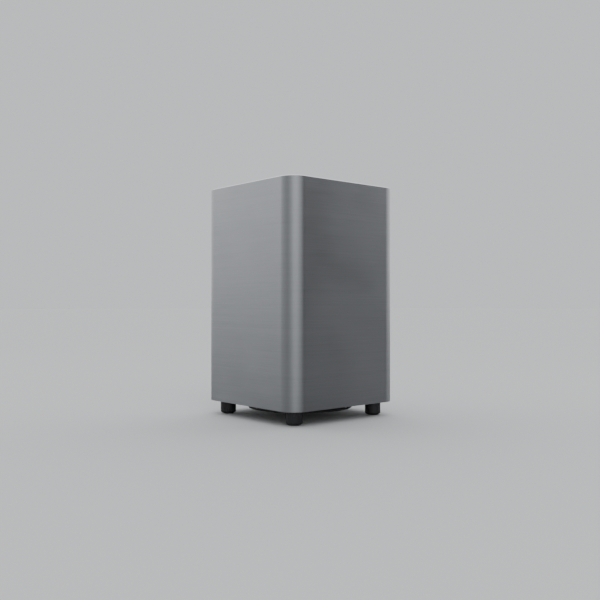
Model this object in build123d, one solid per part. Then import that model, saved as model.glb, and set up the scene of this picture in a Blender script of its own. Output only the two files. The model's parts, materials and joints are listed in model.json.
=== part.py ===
from build123d import *
import math
import os

# A down-firing, bass-reflex wireless subwoofer of the kind that is sold with a soundbar: a tall, square
# cabinet in a brushed metal sleeve with four rounded upright corners, standing on four round feet.
#
# Frame: the origin is on the floor under the middle of the cabinet. +Z is up, -Y is the front, +Y is the
# rear with the port and the amplifier, and +X is the right-hand side seen from the front. Millimetres.
#
# Every piece is a solid of its own. Wooden panels make a box that stands inside the metal sleeve, the bass
# driver hangs in the bottom board and fires at the floor, and the amplifier sits in a cast tray in the rear.

# ---------------------------------------------------------------- Driving dimensions: cabinet
cabinet_width = 230.0
cabinet_depth = 230.0
cabinet_height = 356.0
corner_radius = 27.0
sleeve_wall = 2.0
sleeve_top_chamfer = 1.4
sleeve_bottom_round = 0.4
sleeve_seam = 0.3
board_thickness = 12.0
bottom_board_thickness = 15.0
bottom_recess = 1.0
post_width = 30.0
top_plate_thickness = 2.0
top_plate_gap = 0.35
top_plate_sink = 0.2
top_plate_round = 0.4
glue_gap = 0.1

# ---------------------------------------------------------------- Driving dimensions: feet
foot_height = 23.0
foot_radius = 13.0
foot_inset = 28.5
foot_round = 3.6
foot_flange_rim = 1.3
foot_flange_thickness = 2.6
foot_flange_round = 0.5
foot_pad_radius = 8.6
foot_pad_thickness = 2.6
foot_pad_stand_out = 1.0
foot_screw_well = 12.0
foot_well_margin = 0.8
foot_screw_length = 30.0

# ---------------------------------------------------------------- Driving dimensions: bass driver
flange_radius = 84.0
flange_width = 10.0
flange_thickness = 1.2
ledge_rise = 3.0
ledge_width = 8.0
driver_gasket_thickness = 1.0
driver_screw_inset = 4.2
driver_screw_count = 8
driver_screw_turn = 22.5
surround_roll_radius = 5.5
surround_rim = 4.0
surround_thickness = 0.8
cone_thickness = 0.8
cone_depth = 24.6
cone_collar = 2.5
dust_cap_overlap = 3.0
dust_cap_rise = 5.0
dust_cap_thickness = 0.6
spider_level = 34.0
spider_reach = 26.0
spider_shelf_width = 7.0
spider_rim = 1.5
spider_rolls = 9
spider_thickness = 0.6
former_radius = 16.0
former_thickness = 0.3
former_front = 26.5
former_length = 36.5
coil_thickness = 0.7
coil_length = 15.0
coil_clearance = 0.35
bond_gap = 0.05
basket_height = 50.0
basket_lip = 3.0
pole_plate_radius = 45.0
pole_plate_thickness = 6.0
magnet_radius = 50.0
magnet_bore_margin = 9.0
magnet_thickness = 18.0
back_plate_radius = 47.0
back_plate_thickness = 6.0
back_plate_round = 1.5
pole_stand_out = 1.5
pole_vent_radius = 4.0
window_count = 6
wide_window_angle = 38.0
narrow_window_angle = 30.0
window_margin = 3.0
terminal_width = 18.0
terminal_depth = 5.5
terminal_height = 9.0
tab_length = 7.0
tab_width = 3.2
tab_thickness = 0.8
tab_spacing = 9.0
tinsel_radius = 0.6

# ---------------------------------------------------------------- Driving dimensions: driver guard
guard_margin = 3.0
guard_width = 9.0
guard_rim_thickness = 2.0
guard_drop = 9.0
guard_round = 0.6
guard_bar_height = 2.6
guard_bar_width = 2.4
guard_spokes = 8
guard_rings = 7
guard_hub_radius = 9.0
guard_screw_count = 4

# ---------------------------------------------------------------- Driving dimensions: port
port_radius = 25.0
port_wall = 2.5
port_length = 135.0
port_flare = 12.0
port_flange_rim = 6.0
port_flange_thickness = 3.0
port_top_margin = 19.0
port_inner_flare = 8.0
port_socket_length = 12.0

# ---------------------------------------------------------------- Driving dimensions: amplifier tray
plate_width = 140.0
plate_height = 150.0
plate_corner = 8.0
plate_bottom_margin = 62.0
plate_sink = 0.5
plate_gap = 0.75
rim_width = 10.0
rim_thickness = 3.0
rim_round = 0.8
pocket_depth = 5.0
tray_wall = 3.0
tray_clearance = 1.0
amp_gasket_thickness = 1.5
fin_count = 13
fin_thickness = 2.2
fin_height = 4.0
fin_side_margin = 9.0
fin_top_margin = 5.0
fin_to_controls = 24.0
fin_round = 0.5
controls_margin = 18.0
inlet_margin = 23.0
button_margin = 21.0
lamp_spacing = 16.0
control_board_boss_radius = 2.6

# ---------------------------------------------------------------- Driving dimensions: inlet, button, lamp
inlet_slot_width = 15.6
inlet_slot_height = 8.0
inlet_waist = 0.7
inlet_cavity_depth = 12.5
inlet_wall = 2.2
inlet_body_depth = 20.0
inlet_bezel_rim = 1.8
inlet_bezel_thickness = 1.8
inlet_pin_radius = 1.2
inlet_pin_spacing = 8.6
inlet_pin_length = 8.5
inlet_tab_length = 5.0
button_radius = 4.0
button_stand_out = 2.6
button_flange_rim = 1.4
button_flange_thickness = 1.0
button_nib_radius = 1.5
button_dish = 0.6
button_clearance = 0.3
button_travel = 0.5
switch_width = 6.0
switch_height = 3.6
switch_plunger_radius = 1.7
switch_plunger_stand_out = 0.9
switch_plunger_depth = 1.4
lamp_radius = 1.4
lamp_height = 3.4
lens_radius = 1.6
lens_stand_out = 0.9
lens_shoulder = 1.1
fit_gap = 0.1

# ---------------------------------------------------------------- Driving dimensions: electronics
board_to_tray = 14.0
standoff_radius = 3.0
main_board_margin = 8.0
main_board_height = 86.0
main_board_top_margin = 7.0
main_board_thickness = 1.6
control_board_width = 42.0
control_board_height = 22.0
control_board_thickness = 1.2
control_board_gap = 6.8
board_hole_inset = 6.0
control_hole_inset = 4.0
amp_chip_rise = 2.4
plug_width = 14.0
plug_height = 8.0
plug_rise = 8.5
plug_bottom = -41.0
plug_spacing = 5.0
speaker_plug_x = -34.0
wire_radius = 1.1

# ---------------------------------------------------------------- Driving dimensions: damping and screws
damping_thickness = 16.0
damping_width = 140.0
damping_height = 170.0
damping_top_margin = 45.0
damping_round = 4.0
damping_gap = 0.3
screw_clearance = 0.15
gasket_clearance = 0.3
thread_clearance = 0.05

# ---------------------------------------------------------------- Worked-out levels and places
half_width = cabinet_width / 2
half_depth = cabinet_depth / 2
cabinet_bottom = foot_height
cabinet_top = foot_height + cabinet_height
bottom_face = cabinet_bottom + bottom_recess
bottom_board_top = bottom_face + bottom_board_thickness
top_plate_top = cabinet_top - top_plate_sink
top_board_top = top_plate_top - top_plate_thickness - glue_gap
top_board_bottom = top_board_top - board_thickness
wall_bottom = bottom_board_top + glue_gap
wall_top = top_board_bottom - glue_gap

wood_half_width = half_width - sleeve_wall - glue_gap
wood_half_depth = half_depth - sleeve_wall - glue_gap
wood_corner_radius = corner_radius - sleeve_wall - glue_gap
room_half_width = wood_half_width - board_thickness
room_half_depth = wood_half_depth - board_thickness

rear_face = half_depth
rim_face = rear_face - plate_sink
rim_back = rim_face - rim_thickness
amp_seat = rim_back - amp_gasket_thickness
pocket_floor = rim_face - pocket_depth
tray_back = pocket_floor - tray_wall
tray_width = plate_width - 2 * rim_width
tray_height = plate_height - 2 * rim_width
pocket_width = tray_width - 2 * tray_wall
pocket_height = tray_height - 2 * tray_wall
plate_z = cabinet_bottom + plate_bottom_margin + plate_height / 2
controls_z = plate_z - pocket_height / 2 + controls_margin
inlet_x = pocket_width / 2 - inlet_margin
button_x = button_margin - pocket_width / 2
lamp_x = button_x + lamp_spacing
fin_top = plate_z + pocket_height / 2 - fin_top_margin
fin_bottom = controls_z + fin_to_controls
fin_pitch = (pocket_width - 2 * fin_side_margin) / (fin_count - 1)

inlet_face = pocket_floor + inlet_bezel_thickness
inlet_cavity_floor = inlet_face - inlet_cavity_depth
inlet_back = inlet_face - inlet_body_depth
inlet_tab_end = inlet_back - inlet_tab_length
inlet_body_width = inlet_slot_width + 2 * inlet_wall
inlet_body_height = inlet_slot_height + 2 * inlet_wall

port_flange_radius = port_radius + port_flare + port_flange_rim
port_z = cabinet_top - port_top_margin - port_flange_radius
port_face = rim_face
port_seat = port_face - port_flange_thickness - glue_gap
port_tube_radius = port_radius + port_wall
port_neck_radius = port_tube_radius + 0.5 * port_flare
port_end = port_face - port_length

flange_back = bottom_face + flange_thickness
driver_seat = flange_back + driver_gasket_thickness
rebate_radius = flange_radius + plate_gap
ledge_radius = flange_radius - flange_width
basket_hole_radius = ledge_radius + flange_thickness + 3 * fit_gap
driver_screw_circle = flange_radius - driver_screw_inset
ledge_level = bottom_face + flange_thickness / 2 + ledge_rise
basket_top = bottom_face + basket_height
surround_outer_radius = ledge_radius - ledge_width
surround_level = ledge_level - flange_thickness / 2 - surround_thickness / 2
surround_inner_radius = surround_outer_radius - 2 * surround_roll_radius
cone_edge_level = surround_level + surround_thickness / 2 + cone_thickness / 2
cone_neck_radius = former_radius + bond_gap + cone_thickness / 2
cone_neck_level = cone_edge_level + cone_depth
cone_lip_radius = surround_inner_radius - surround_rim
cone_slope = math.atan2(cone_depth, cone_lip_radius - cone_neck_radius)
dust_cap_radius = former_radius + dust_cap_overlap
shelf_level = bottom_face + spider_level
spider_shelf_radius = former_radius + spider_reach
pole_plate_bottom = basket_top + flange_thickness / 2
pole_plate_top = pole_plate_bottom + pole_plate_thickness
magnet_top = pole_plate_top + magnet_thickness
back_plate_top = magnet_top + back_plate_thickness
coil_radius = former_radius + bond_gap + coil_thickness
gap_radius = coil_radius + coil_clearance
magnet_bore = gap_radius + magnet_bore_margin
pole_radius = former_radius - former_thickness - coil_clearance
coil_middle = (pole_plate_bottom + pole_plate_top) / 2
former_bottom = bottom_face + former_front
terminal_front = spider_shelf_radius + flange_thickness
terminal_back = terminal_front + terminal_depth
terminal_base = shelf_level + flange_thickness / 2
tab_z = terminal_base + terminal_height / 2
tab_end = terminal_back + tab_length

guard_inner_radius = flange_radius + guard_margin
guard_outer_radius = guard_inner_radius + guard_width
guard_screw_circle = (guard_inner_radius + guard_outer_radius) / 2
guard_rim_bottom = bottom_face - guard_rim_thickness

main_board_width = tray_width - 2 * main_board_margin
damping_z = wall_top - damping_top_margin - damping_height / 2
main_board_z = plate_z + tray_height / 2 - main_board_top_margin - main_board_height / 2
main_board_face = tray_back - board_to_tray
main_board_back = main_board_face - main_board_thickness
control_board_face = tray_back - control_board_gap
control_board_back = control_board_face - control_board_thickness
control_board_x = (button_x + lamp_x) / 2
plug_y = main_board_back - plug_rise / 2
plug_z = main_board_z + plug_bottom
switch_face = control_board_face + switch_height
button_nib_end = switch_face + switch_plunger_stand_out + bond_gap

foot_spots = [
    ("foot_front_left", -1, -1),
    ("foot_front_right", 1, -1),
    ("foot_rear_left", -1, 1),
    ("foot_rear_right", 1, 1),
]


# ---------------------------------------------------------------- Shape helpers
def block(x_range, y_range, z_range):
    """A box between three pairs of limits."""
    ranges = (x_range, y_range, z_range)
    middle = [(low + high) / 2 for low, high in ranges]
    size = [high - low for low, high in ranges]
    return Pos(*middle) * Box(*size)


def disc(radius, low, high, x=0.0, y=0.0):
    """An upright cylinder between two levels."""
    return Pos(x, y, (low + high) / 2) * Cylinder(radius, high - low)


def ring(outer, inner, low, high, x=0.0, y=0.0):
    return disc(outer, low, high, x, y) - disc(inner, low, high, x, y)


def rear_disc(radius, low, high, x=0.0, z=0.0):
    """A cylinder along Y between two depths."""
    return Pos(x, (low + high) / 2, z) * Rot(90, 0, 0) * Cylinder(radius, high - low)


def upright_prism(width, depth, radius, low, high):
    """A rounded rectangle in plan, between two levels."""
    return extrude(Pos(0, 0, low) * RectangleRounded(width, depth, radius), amount=high - low)


def rear_prism(outline, low, high, x=0.0, z=0.0):
    """A sketch of width and height, extruded along Y between two depths."""
    face = Plane(origin=(x, low, z), x_dir=(1, 0, 0), z_dir=(0, 1, 0)) * outline
    return extrude(face, amount=high - low)


def turned(outline):
    """A sketch of radius and level, turned about the Z axis."""
    return revolve(Plane.XZ * outline, Axis.Z)


def polygon(*points):
    return make_face(Polyline(*points, close=True))


def bent_sheet(middle_line, thickness):
    """The outline of a sheet whose middle follows a line of points, with mitred bends."""
    points = [Vector(*point) for point in middle_line]
    steps = [(b - a).normalized() for a, b in zip(points, points[1:])]
    normals = [Vector(-step.Y, step.X) for step in steps]
    one_side, other_side = [], []
    for i, point in enumerate(points):
        before = normals[max(i - 1, 0)]
        after = normals[min(i, len(normals) - 1)]
        mitre = (before + after) * (thickness / 2 / (1 + before.dot(after)))
        one_side.append(point + mitre)
        other_side.append(point - mitre)
    outline = one_side + other_side[::-1]
    return polygon(*[(p.X, p.Y) for p in outline])


def round_edges(shape, axis, which, radius):
    """Rounds the edges of the group that lies lowest (0) or highest (-1) along an axis."""
    return fillet(shape.edges().group_by(axis)[which], radius)


def around(count, radius, start=0.0):
    """(x, y, angle) of places spread evenly round a circle."""
    for i in range(count):
        angle = start + 360 / count * i
        yield radius * math.cos(math.radians(angle)), radius * math.sin(math.radians(angle)), angle


def group(solids):
    return Compound(children=list(solids))


def cross_recess(head_radius, top, depth):
    """The cutter of a screw head's cross."""
    blade = Box(1.3 * head_radius, 0.28 * head_radius, depth)
    return Pos(0, 0, top - depth / 2) * (blade + Rot(0, 0, 90) * blade)


def pan_screw(head_radius, head_height, shank_radius, length):
    """A screw whose seat is at z = 0, its head above and its shank below."""
    outline = polygon(
        (0, head_height),
        (0.62 * head_radius, head_height),
        (head_radius, 0.45 * head_height),
        (head_radius, 0),
        (shank_radius, 0),
        (shank_radius, 1.6 * shank_radius - length),
        (0, -length),
    )
    return turned(outline) - cross_recess(head_radius, head_height, 0.6 * head_height)


def flat_screw(head_radius, shank_radius, length):
    """A countersunk screw whose head's face is at z = 0, with its shank below."""
    outline = polygon(
        (0, 0),
        (head_radius, 0),
        (shank_radius, shank_radius - head_radius),
        (shank_radius, 1.6 * shank_radius - length),
        (0, -length),
    )
    return turned(outline) - cross_recess(head_radius, 0, 0.45 * head_radius)


def flat_screw_hole(head_radius, shank_radius, length):
    """The clearance hole of a countersunk screw, a little over the screw's own size."""
    head = head_radius + screw_clearance
    shank = shank_radius + screw_clearance
    outline = polygon((0, 1), (head, 1), (head, 0), (shank, shank - head), (shank, -length), (0, -length))
    return turned(outline)


REARWARD = Rot(-90, 0, 0)
DOWNWARD = Rot(180, 0, 0)


# ---------------------------------------------------------------- Fasteners: sizes and places
foot_screw = dict(head_radius=4.2, head_height=2.6, shank_radius=2.0, length=foot_screw_length)
driver_screw = dict(head_radius=3.6, head_height=2.2, shank_radius=1.7, length=13.0)
guard_screw = dict(head_radius=3.0, head_height=1.8, shank_radius=1.5, length=11.0)
amp_screw = dict(head_radius=3.4, shank_radius=1.6, length=12.0)
board_screw = dict(head_radius=2.6, head_height=1.8, shank_radius=1.3, length=5.5)


def corners_of(width, height, x, z):
    """The four corners of a rectangle with its middle at (x, z)."""
    return [(x + i * width / 2, z + k * height / 2) for i in (-1, 1) for k in (-1, 1)]


rim_middle_width = plate_width - rim_width
rim_middle_height = plate_height - rim_width
amp_screw_spots = corners_of(rim_middle_width, rim_middle_height, 0, plate_z) + [
    (-rim_middle_width / 2, plate_z),
    (rim_middle_width / 2, plate_z),
    (0, plate_z - rim_middle_height / 2),
    (0, plate_z + rim_middle_height / 2),
]
main_board_spots = corners_of(
    main_board_width - 2 * board_hole_inset, main_board_height - 2 * board_hole_inset, 0, main_board_z
)
control_board_spots = [
    (
        control_board_x + side * (control_board_width / 2 - control_hole_inset),
        controls_z + side * (control_board_height / 2 - control_hole_inset),
    )
    for side in (-1, 1)
]


def foot_centre(side_x, side_y):
    return side_x * (half_width - foot_inset), side_y * (half_depth - foot_inset)


def foot_screw_holes():
    """Pilot holes for the foot screws, through the bottom board and into the corner posts."""
    depth = foot_screw_well + foot_screw_length + 1
    radius = foot_screw["shank_radius"] + thread_clearance
    return [disc(radius, foot_screw_well, depth, *foot_centre(x, y)) for _, x, y in foot_spots]


# ---------------------------------------------------------------- Cabinet
def rear_window(clearance):
    """The cutter for what stands in the rear: the tray's outline, this much larger all round."""
    outline = RectangleRounded(
        plate_width + 2 * clearance, plate_height + 2 * clearance, plate_corner + clearance
    )
    return rear_prism(outline, amp_seat, rear_face + 1, z=plate_z)


def tray_window():
    """The outline of the hole that the tray's body passes through."""
    return RectangleRounded(tray_width + 2 * tray_clearance, tray_height + 2 * tray_clearance, plate_corner)


def brushed_sleeve():
    outer = upright_prism(cabinet_width, cabinet_depth, corner_radius, cabinet_bottom, cabinet_top)
    outer = chamfer(outer.edges().group_by(Axis.Z)[-1], sleeve_top_chamfer)
    outer = round_edges(outer, Axis.Z, 0, sleeve_bottom_round)
    inner = upright_prism(
        cabinet_width - 2 * sleeve_wall,
        cabinet_depth - 2 * sleeve_wall,
        corner_radius - sleeve_wall,
        cabinet_bottom - 1,
        cabinet_top + 1,
    )
    port_hole = rear_disc(port_flange_radius + plate_gap, port_seat, rear_face + 1, z=port_z)
    half_seam = sleeve_seam / 2
    seam = block(
        (-half_seam, half_seam),
        (rear_face - 2 * sleeve_wall, rear_face + 1),
        (cabinet_bottom - 1, cabinet_top + 1),
    )
    return outer - inner - rear_window(plate_gap) - port_hole - seam


def top_plate():
    shrink = sleeve_wall + top_plate_gap
    plate = upright_prism(
        cabinet_width - 2 * shrink,
        cabinet_depth - 2 * shrink,
        corner_radius - shrink,
        top_plate_top - top_plate_thickness,
        top_plate_top,
    )
    return round_edges(plate, Axis.Z, -1, top_plate_round)


def wooden_slab(low, high):
    return upright_prism(2 * wood_half_width, 2 * wood_half_depth, wood_corner_radius, low, high)


def top_board():
    return wooden_slab(top_board_bottom, top_board_top)


def bottom_board():
    board = wooden_slab(bottom_face, bottom_board_top)
    board -= disc(rebate_radius, bottom_face, driver_seat)
    board -= disc(basket_hole_radius, bottom_face, bottom_board_top)
    driver_hole = driver_screw["shank_radius"] + thread_clearance
    for x, y, _ in around(driver_screw_count, driver_screw_circle, driver_screw_turn):
        board -= disc(driver_hole, bottom_face, bottom_board_top, x, y)
    guard_hole = guard_screw["shank_radius"] + thread_clearance
    for x, y, _ in around(guard_screw_count, guard_screw_circle):
        board -= disc(guard_hole, bottom_face, bottom_board_top, x, y)
    return board - foot_screw_holes()


def corner_posts():
    slab = wooden_slab(wall_bottom, wall_top)
    posts = []
    for _, side_x, side_y in foot_spots:
        x_range = sorted((side_x * wood_half_width, side_x * (wood_half_width - post_width)))
        y_range = sorted((side_y * wood_half_depth, side_y * (wood_half_depth - post_width)))
        post = slab & block(x_range, y_range, (wall_bottom, wall_top))
        posts.append((post - foot_screw_holes()).solid())
    return group(posts)


def front_board():
    span = wood_half_width - post_width - glue_gap
    return block((-span, span), (-wood_half_depth, -room_half_depth), (wall_bottom, wall_top))


def rear_board():
    span = wood_half_width - post_width - glue_gap
    board = block((-span, span), (room_half_depth, wood_half_depth), (wall_bottom, wall_top))
    board -= rear_window(plate_gap)
    board -= rear_prism(tray_window(), room_half_depth - 1, amp_seat + 1, z=plate_z)
    board -= rear_disc(port_flange_radius + plate_gap, port_seat, rear_face, z=port_z)
    board -= rear_disc(port_neck_radius + plate_gap, room_half_depth - 1, port_seat + 1, z=port_z)
    pilot = amp_screw["shank_radius"] + thread_clearance
    for x, z in amp_screw_spots:
        board -= rear_disc(pilot, room_half_depth, amp_seat, x, z)
    return board


def side_board(side):
    x_range = sorted((side * room_half_width, side * wood_half_width))
    span = wood_half_depth - post_width - glue_gap
    return block(x_range, (-span, span), (wall_bottom, wall_top))


def damping_pad(side_x, side_y):
    """A sheet of wadding on the inside of the left, right or front wall."""
    x = side_x * (room_half_width - damping_gap - damping_thickness / 2)
    y = side_y * (room_half_depth - damping_gap - damping_thickness / 2)
    size_x = damping_thickness if side_x else damping_width
    size_y = damping_thickness if side_y else damping_width
    pad = Pos(x, y, damping_z) * Box(size_x, size_y, damping_height)
    return fillet(pad.edges(), damping_round)


# ---------------------------------------------------------------- Feet
def foot(side_x, side_y):
    flange_bottom = bottom_face - foot_flange_thickness
    body = disc(foot_radius, foot_pad_stand_out, flange_bottom)
    body = round_edges(body, Axis.Z, 0, foot_round)
    flange = disc(foot_radius + foot_flange_rim, flange_bottom, bottom_face)
    body += round_edges(flange, Axis.Z, 0, foot_flange_round)
    body -= disc(foot_pad_radius + bond_gap, 0, foot_pad_thickness + bond_gap)
    body -= disc(foot_screw["head_radius"] + foot_well_margin, 0, foot_screw_well)
    body -= disc(foot_screw["shank_radius"] + screw_clearance, 0, bottom_face + 1)
    return Pos(*foot_centre(side_x, side_y), 0) * body


def foot_pads():
    pad = round_edges(disc(foot_pad_radius, 0, foot_pad_thickness), Axis.Z, 0, foot_flange_round)
    return group(Pos(*foot_centre(x, y), 0) * pad for _, x, y in foot_spots)


def foot_screws():
    screw = DOWNWARD * pan_screw(**foot_screw)
    return group(Pos(*foot_centre(x, y), foot_screw_well) * screw for _, x, y in foot_spots)


# ---------------------------------------------------------------- Bass driver: fixed pieces
def driver_basket():
    """A pressed steel bowl: flange, ledge for the surround, spoked cone, shelf for the spider, top disc."""
    flange_level = bottom_face + flange_thickness / 2
    outline = bent_sheet(
        [
            (flange_radius, flange_level),
            (ledge_radius, flange_level),
            (ledge_radius - 1, ledge_level),
            (surround_outer_radius - 1, ledge_level),
            (surround_outer_radius - 2.5, ledge_level + 2.5),
            (spider_shelf_radius + spider_shelf_width, shelf_level),
            (spider_shelf_radius, shelf_level),
            (spider_shelf_radius, basket_top),
            (gap_radius + basket_lip, basket_top),
        ],
        flange_thickness,
    )
    basket = turned(outline)
    wide_low = ledge_level + 2.5 + window_margin
    wide_high = shelf_level - window_margin
    narrow_low = shelf_level + window_margin
    narrow_high = basket_top - window_margin
    inside = spider_shelf_radius - 2
    outside = spider_shelf_radius + 2
    wide_window = window_sector(surround_outer_radius, inside, wide_low, wide_high, wide_window_angle)
    narrow_window = window_sector(outside, pole_radius, narrow_low, narrow_high, narrow_window_angle)
    for _, _, angle in around(window_count, 1):
        basket -= Rot(0, 0, angle) * wide_window
        basket -= Rot(0, 0, angle) * narrow_window
    for x, y, _ in around(driver_screw_count, driver_screw_circle, driver_screw_turn):
        basket -= disc(driver_screw["shank_radius"] + screw_clearance, bottom_face, flange_back, x, y)
    return basket


def window_sector(outer, inner, low, high, angle):
    """The cutter of one basket window: part of a ring, centred on the X axis."""
    reach = 2 * outer
    half_angle = math.radians(angle / 2)
    corner = (reach * math.cos(half_angle), reach * math.sin(half_angle))
    wedge = polygon((0, 0), corner, (corner[0], -corner[1]))
    flat = wedge & (Circle(outer) - Circle(inner))
    return extrude(Pos(0, 0, low) * flat, amount=high - low)


def driver_gasket():
    outer = flange_radius - plate_gap
    inner = basket_hole_radius + plate_gap
    gasket = ring(outer, inner, flange_back, driver_seat)
    for x, y, _ in around(driver_screw_count, driver_screw_circle, driver_screw_turn):
        gasket -= disc(driver_screw["shank_radius"] + gasket_clearance, flange_back, driver_seat, x, y)
    return gasket


def driver_screws():
    screw = DOWNWARD * pan_screw(**driver_screw)
    spots = around(driver_screw_count, driver_screw_circle, driver_screw_turn)
    return group(Pos(x, y, bottom_face) * Rot(0, 0, angle) * screw for x, y, angle in spots)


def pole_plate():
    return ring(pole_plate_radius, gap_radius, pole_plate_bottom, pole_plate_top)


def magnet_ring():
    return ring(magnet_radius, magnet_bore, pole_plate_top, magnet_top)


def yoke():
    """The back plate and the pole that stands in the voice coil, with a vent along its middle."""
    back_plate = disc(back_plate_radius, magnet_top, back_plate_top)
    body = round_edges(back_plate, Axis.Z, -1, back_plate_round)
    body += disc(pole_radius, pole_plate_bottom - pole_stand_out, magnet_top)
    return body - disc(pole_vent_radius, pole_plate_bottom - 2 * pole_stand_out, back_plate_top + 1)


# ---------------------------------------------------------------- Bass driver: suspension and moving pieces
def surround():
    """A half-roll of rubber between the basket's ledge and the cone's lip, its crest towards the floor."""
    middle = surround_outer_radius - surround_roll_radius
    reach = surround_roll_radius + surround_thickness
    roll = Circle(surround_roll_radius + surround_thickness / 2)
    roll -= Circle(surround_roll_radius - surround_thickness / 2)
    roll &= Pos(0, -reach / 2) * Rectangle(2 * reach, reach)
    outline = Pos(middle, surround_level) * roll
    rim = Rectangle(surround_rim + surround_thickness, surround_thickness)
    for radius in (surround_inner_radius - surround_rim / 2, surround_outer_radius + surround_rim / 2):
        outline += Pos(radius, surround_level) * rim
    return turned(outline)


def cone():
    outline = bent_sheet(
        [
            (surround_inner_radius, cone_edge_level),
            (cone_lip_radius, cone_edge_level),
            (cone_neck_radius, cone_neck_level),
            (cone_neck_radius, cone_neck_level + cone_collar),
        ],
        cone_thickness,
    )
    return turned(outline)


def cone_level(radius):
    """The level of the cone's middle at a radius."""
    share = (cone_lip_radius - radius) / (cone_lip_radius - cone_neck_radius)
    return cone_edge_level + share * (cone_neck_level - cone_edge_level)


def dust_cap():
    rim_level = cone_level(dust_cap_radius) - cone_thickness / 2 / math.cos(cone_slope) - glue_gap
    sphere_radius = (dust_cap_radius**2 + dust_cap_rise**2) / (2 * dust_cap_rise)
    shell = Circle(sphere_radius) - Circle(sphere_radius - dust_cap_thickness)
    band = Pos(dust_cap_radius / 2, rim_level - dust_cap_rise) * Rectangle(dust_cap_radius, 2 * dust_cap_rise)
    return turned((Pos(0, rim_level - dust_cap_rise + sphere_radius) * shell) & band)


def spider():
    """A corrugated disc of resin-stiffened cloth from the voice coil's former to the basket's shelf."""
    level = shelf_level - flange_thickness / 2 - spider_thickness / 2
    inner = former_radius + bond_gap
    roll_start = inner + spider_rim
    roll_radius = (spider_shelf_radius - roll_start) / spider_rolls / 2
    roll_band = Circle(roll_radius + spider_thickness / 2) - Circle(roll_radius - spider_thickness / 2)
    reach = roll_radius + spider_thickness
    outline = spider_flat(inner, roll_start + spider_thickness / 2, level)
    for i in range(spider_rolls):
        side = 1 if i % 2 else -1
        half_roll = roll_band & (Pos(0, side * reach / 2) * Rectangle(2 * reach, reach))
        outline += Pos(roll_start + roll_radius * (2 * i + 1), level) * half_roll
    outer = spider_shelf_radius + spider_shelf_width - 2 * spider_rim
    outline += spider_flat(spider_shelf_radius - spider_thickness / 2, outer, level)
    return turned(outline)


def spider_flat(inner, outer, level):
    """One flat stretch of the spider's section."""
    return Pos((inner + outer) / 2, level) * Rectangle(outer - inner, spider_thickness)


def voice_coil_former():
    return ring(former_radius, former_radius - former_thickness, former_bottom, former_bottom + former_length)


def voice_coil():
    inner = former_radius + bond_gap
    return ring(coil_radius, inner, coil_middle - coil_length / 2, coil_middle + coil_length / 2)


# ---------------------------------------------------------------- Driver guard
def driver_guard():
    """A moulded ring-and-spoke guard that stands below the cone."""
    bar_low = guard_rim_bottom - guard_drop
    bar_high = bar_low + guard_bar_height
    half_bar = guard_bar_width / 2
    rim = ring(guard_outer_radius, guard_inner_radius, guard_rim_bottom, bottom_face)
    guard = round_edges(rim, Axis.Z, 0, guard_round)
    guard += disc(guard_hub_radius, bar_low, bar_high)
    pitch = (guard_inner_radius - guard_hub_radius) / guard_rings
    for i in range(1, guard_rings + 1):
        outer = guard_hub_radius + pitch * i
        guard += ring(outer, outer - guard_bar_width, bar_low, bar_high)
    spoke = block((guard_hub_radius - 1, guard_inner_radius), (-half_bar, half_bar), (bar_low, bar_high))
    leg_x = (guard_inner_radius - half_bar, guard_inner_radius + half_bar)
    leg = block(leg_x, (-half_bar, half_bar), (bar_low, guard_rim_bottom + half_bar))
    for _, _, angle in around(guard_spokes, 1, driver_screw_turn):
        guard += Rot(0, 0, angle) * (spoke + leg)
    for x, y, _ in around(guard_screw_count, guard_screw_circle):
        guard -= disc(guard_screw["shank_radius"] + screw_clearance, guard_rim_bottom, bottom_face, x, y)
    return guard


def guard_screws():
    screw = DOWNWARD * pan_screw(**guard_screw)
    spots = around(guard_screw_count, guard_screw_circle)
    return group(Pos(x, y, guard_rim_bottom) * Rot(0, 0, angle) * screw for x, y, angle in spots)


# ---------------------------------------------------------------- Driver terminals and leads
def driver_terminals():
    """A moulded block on the basket's shelf with two push-on tabs that point outwards."""
    half_block = terminal_width / 2
    top = terminal_base + terminal_height
    solids = [block((-half_block, half_block), (terminal_front, terminal_back), (terminal_base, top))]
    for side in (-1, 1):
        tab = Box(tab_width, tab_length, tab_thickness)
        solids.append(Pos(side * tab_spacing / 2, (terminal_back + tab_end) / 2, tab_z) * tab)
    return group(solids)


def round_lead(points, radius):
    """A wire of round section along a route, with an arc at each corner as large as its runs allow."""
    corners = [Vector(*point) for point in points]
    radii = []
    for a, b, c in zip(corners, corners[1:], corners[2:]):
        turn = math.radians((b - a).get_angle(c - b))
        shorter = min((b - a).length, (c - b).length)
        radii.append(0.45 * shorter / math.tan(turn / 2))
    path = FilletPolyline(*corners, radius=radii)
    section = Plane(origin=path @ 0, z_dir=path % 0) * Circle(radius)
    lead = sweep(section, path=path)
    straight = math.pi * radius**2 * path.length
    bends = ", ".join(f"{bend:.1f}" for bend in radii)
    print(f"lead {path.length:.1f} mm, {lead.volume / straight:.4f} of section x length, bends {bends}")
    return lead


def tinsel_leads():
    """Two limp leads from the terminals, out through the windows beside the rear spoke, to the cone."""
    start_y = (terminal_front + terminal_back) / 2
    cone_x, cone_y = 9.0, 31.0
    cone_z = cone_level(math.hypot(cone_x, cone_y)) + cone_thickness + tinsel_radius
    leads = []
    for side in (-1, 1):
        points = [
            (side * (terminal_width / 2 + tinsel_radius), start_y, terminal_base + 3),
            (side * 14, start_y + 3, terminal_base + 2),
            (side * 16.5, start_y + 4, terminal_base - 6),
            (side * 15, start_y - 1, terminal_base - 14),
            (side * 11, start_y - 9, terminal_base - 15),
            (side * cone_x, cone_y, cone_z),
        ]
        leads.append(round_lead(points, tinsel_radius))
    return group(leads)


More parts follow.
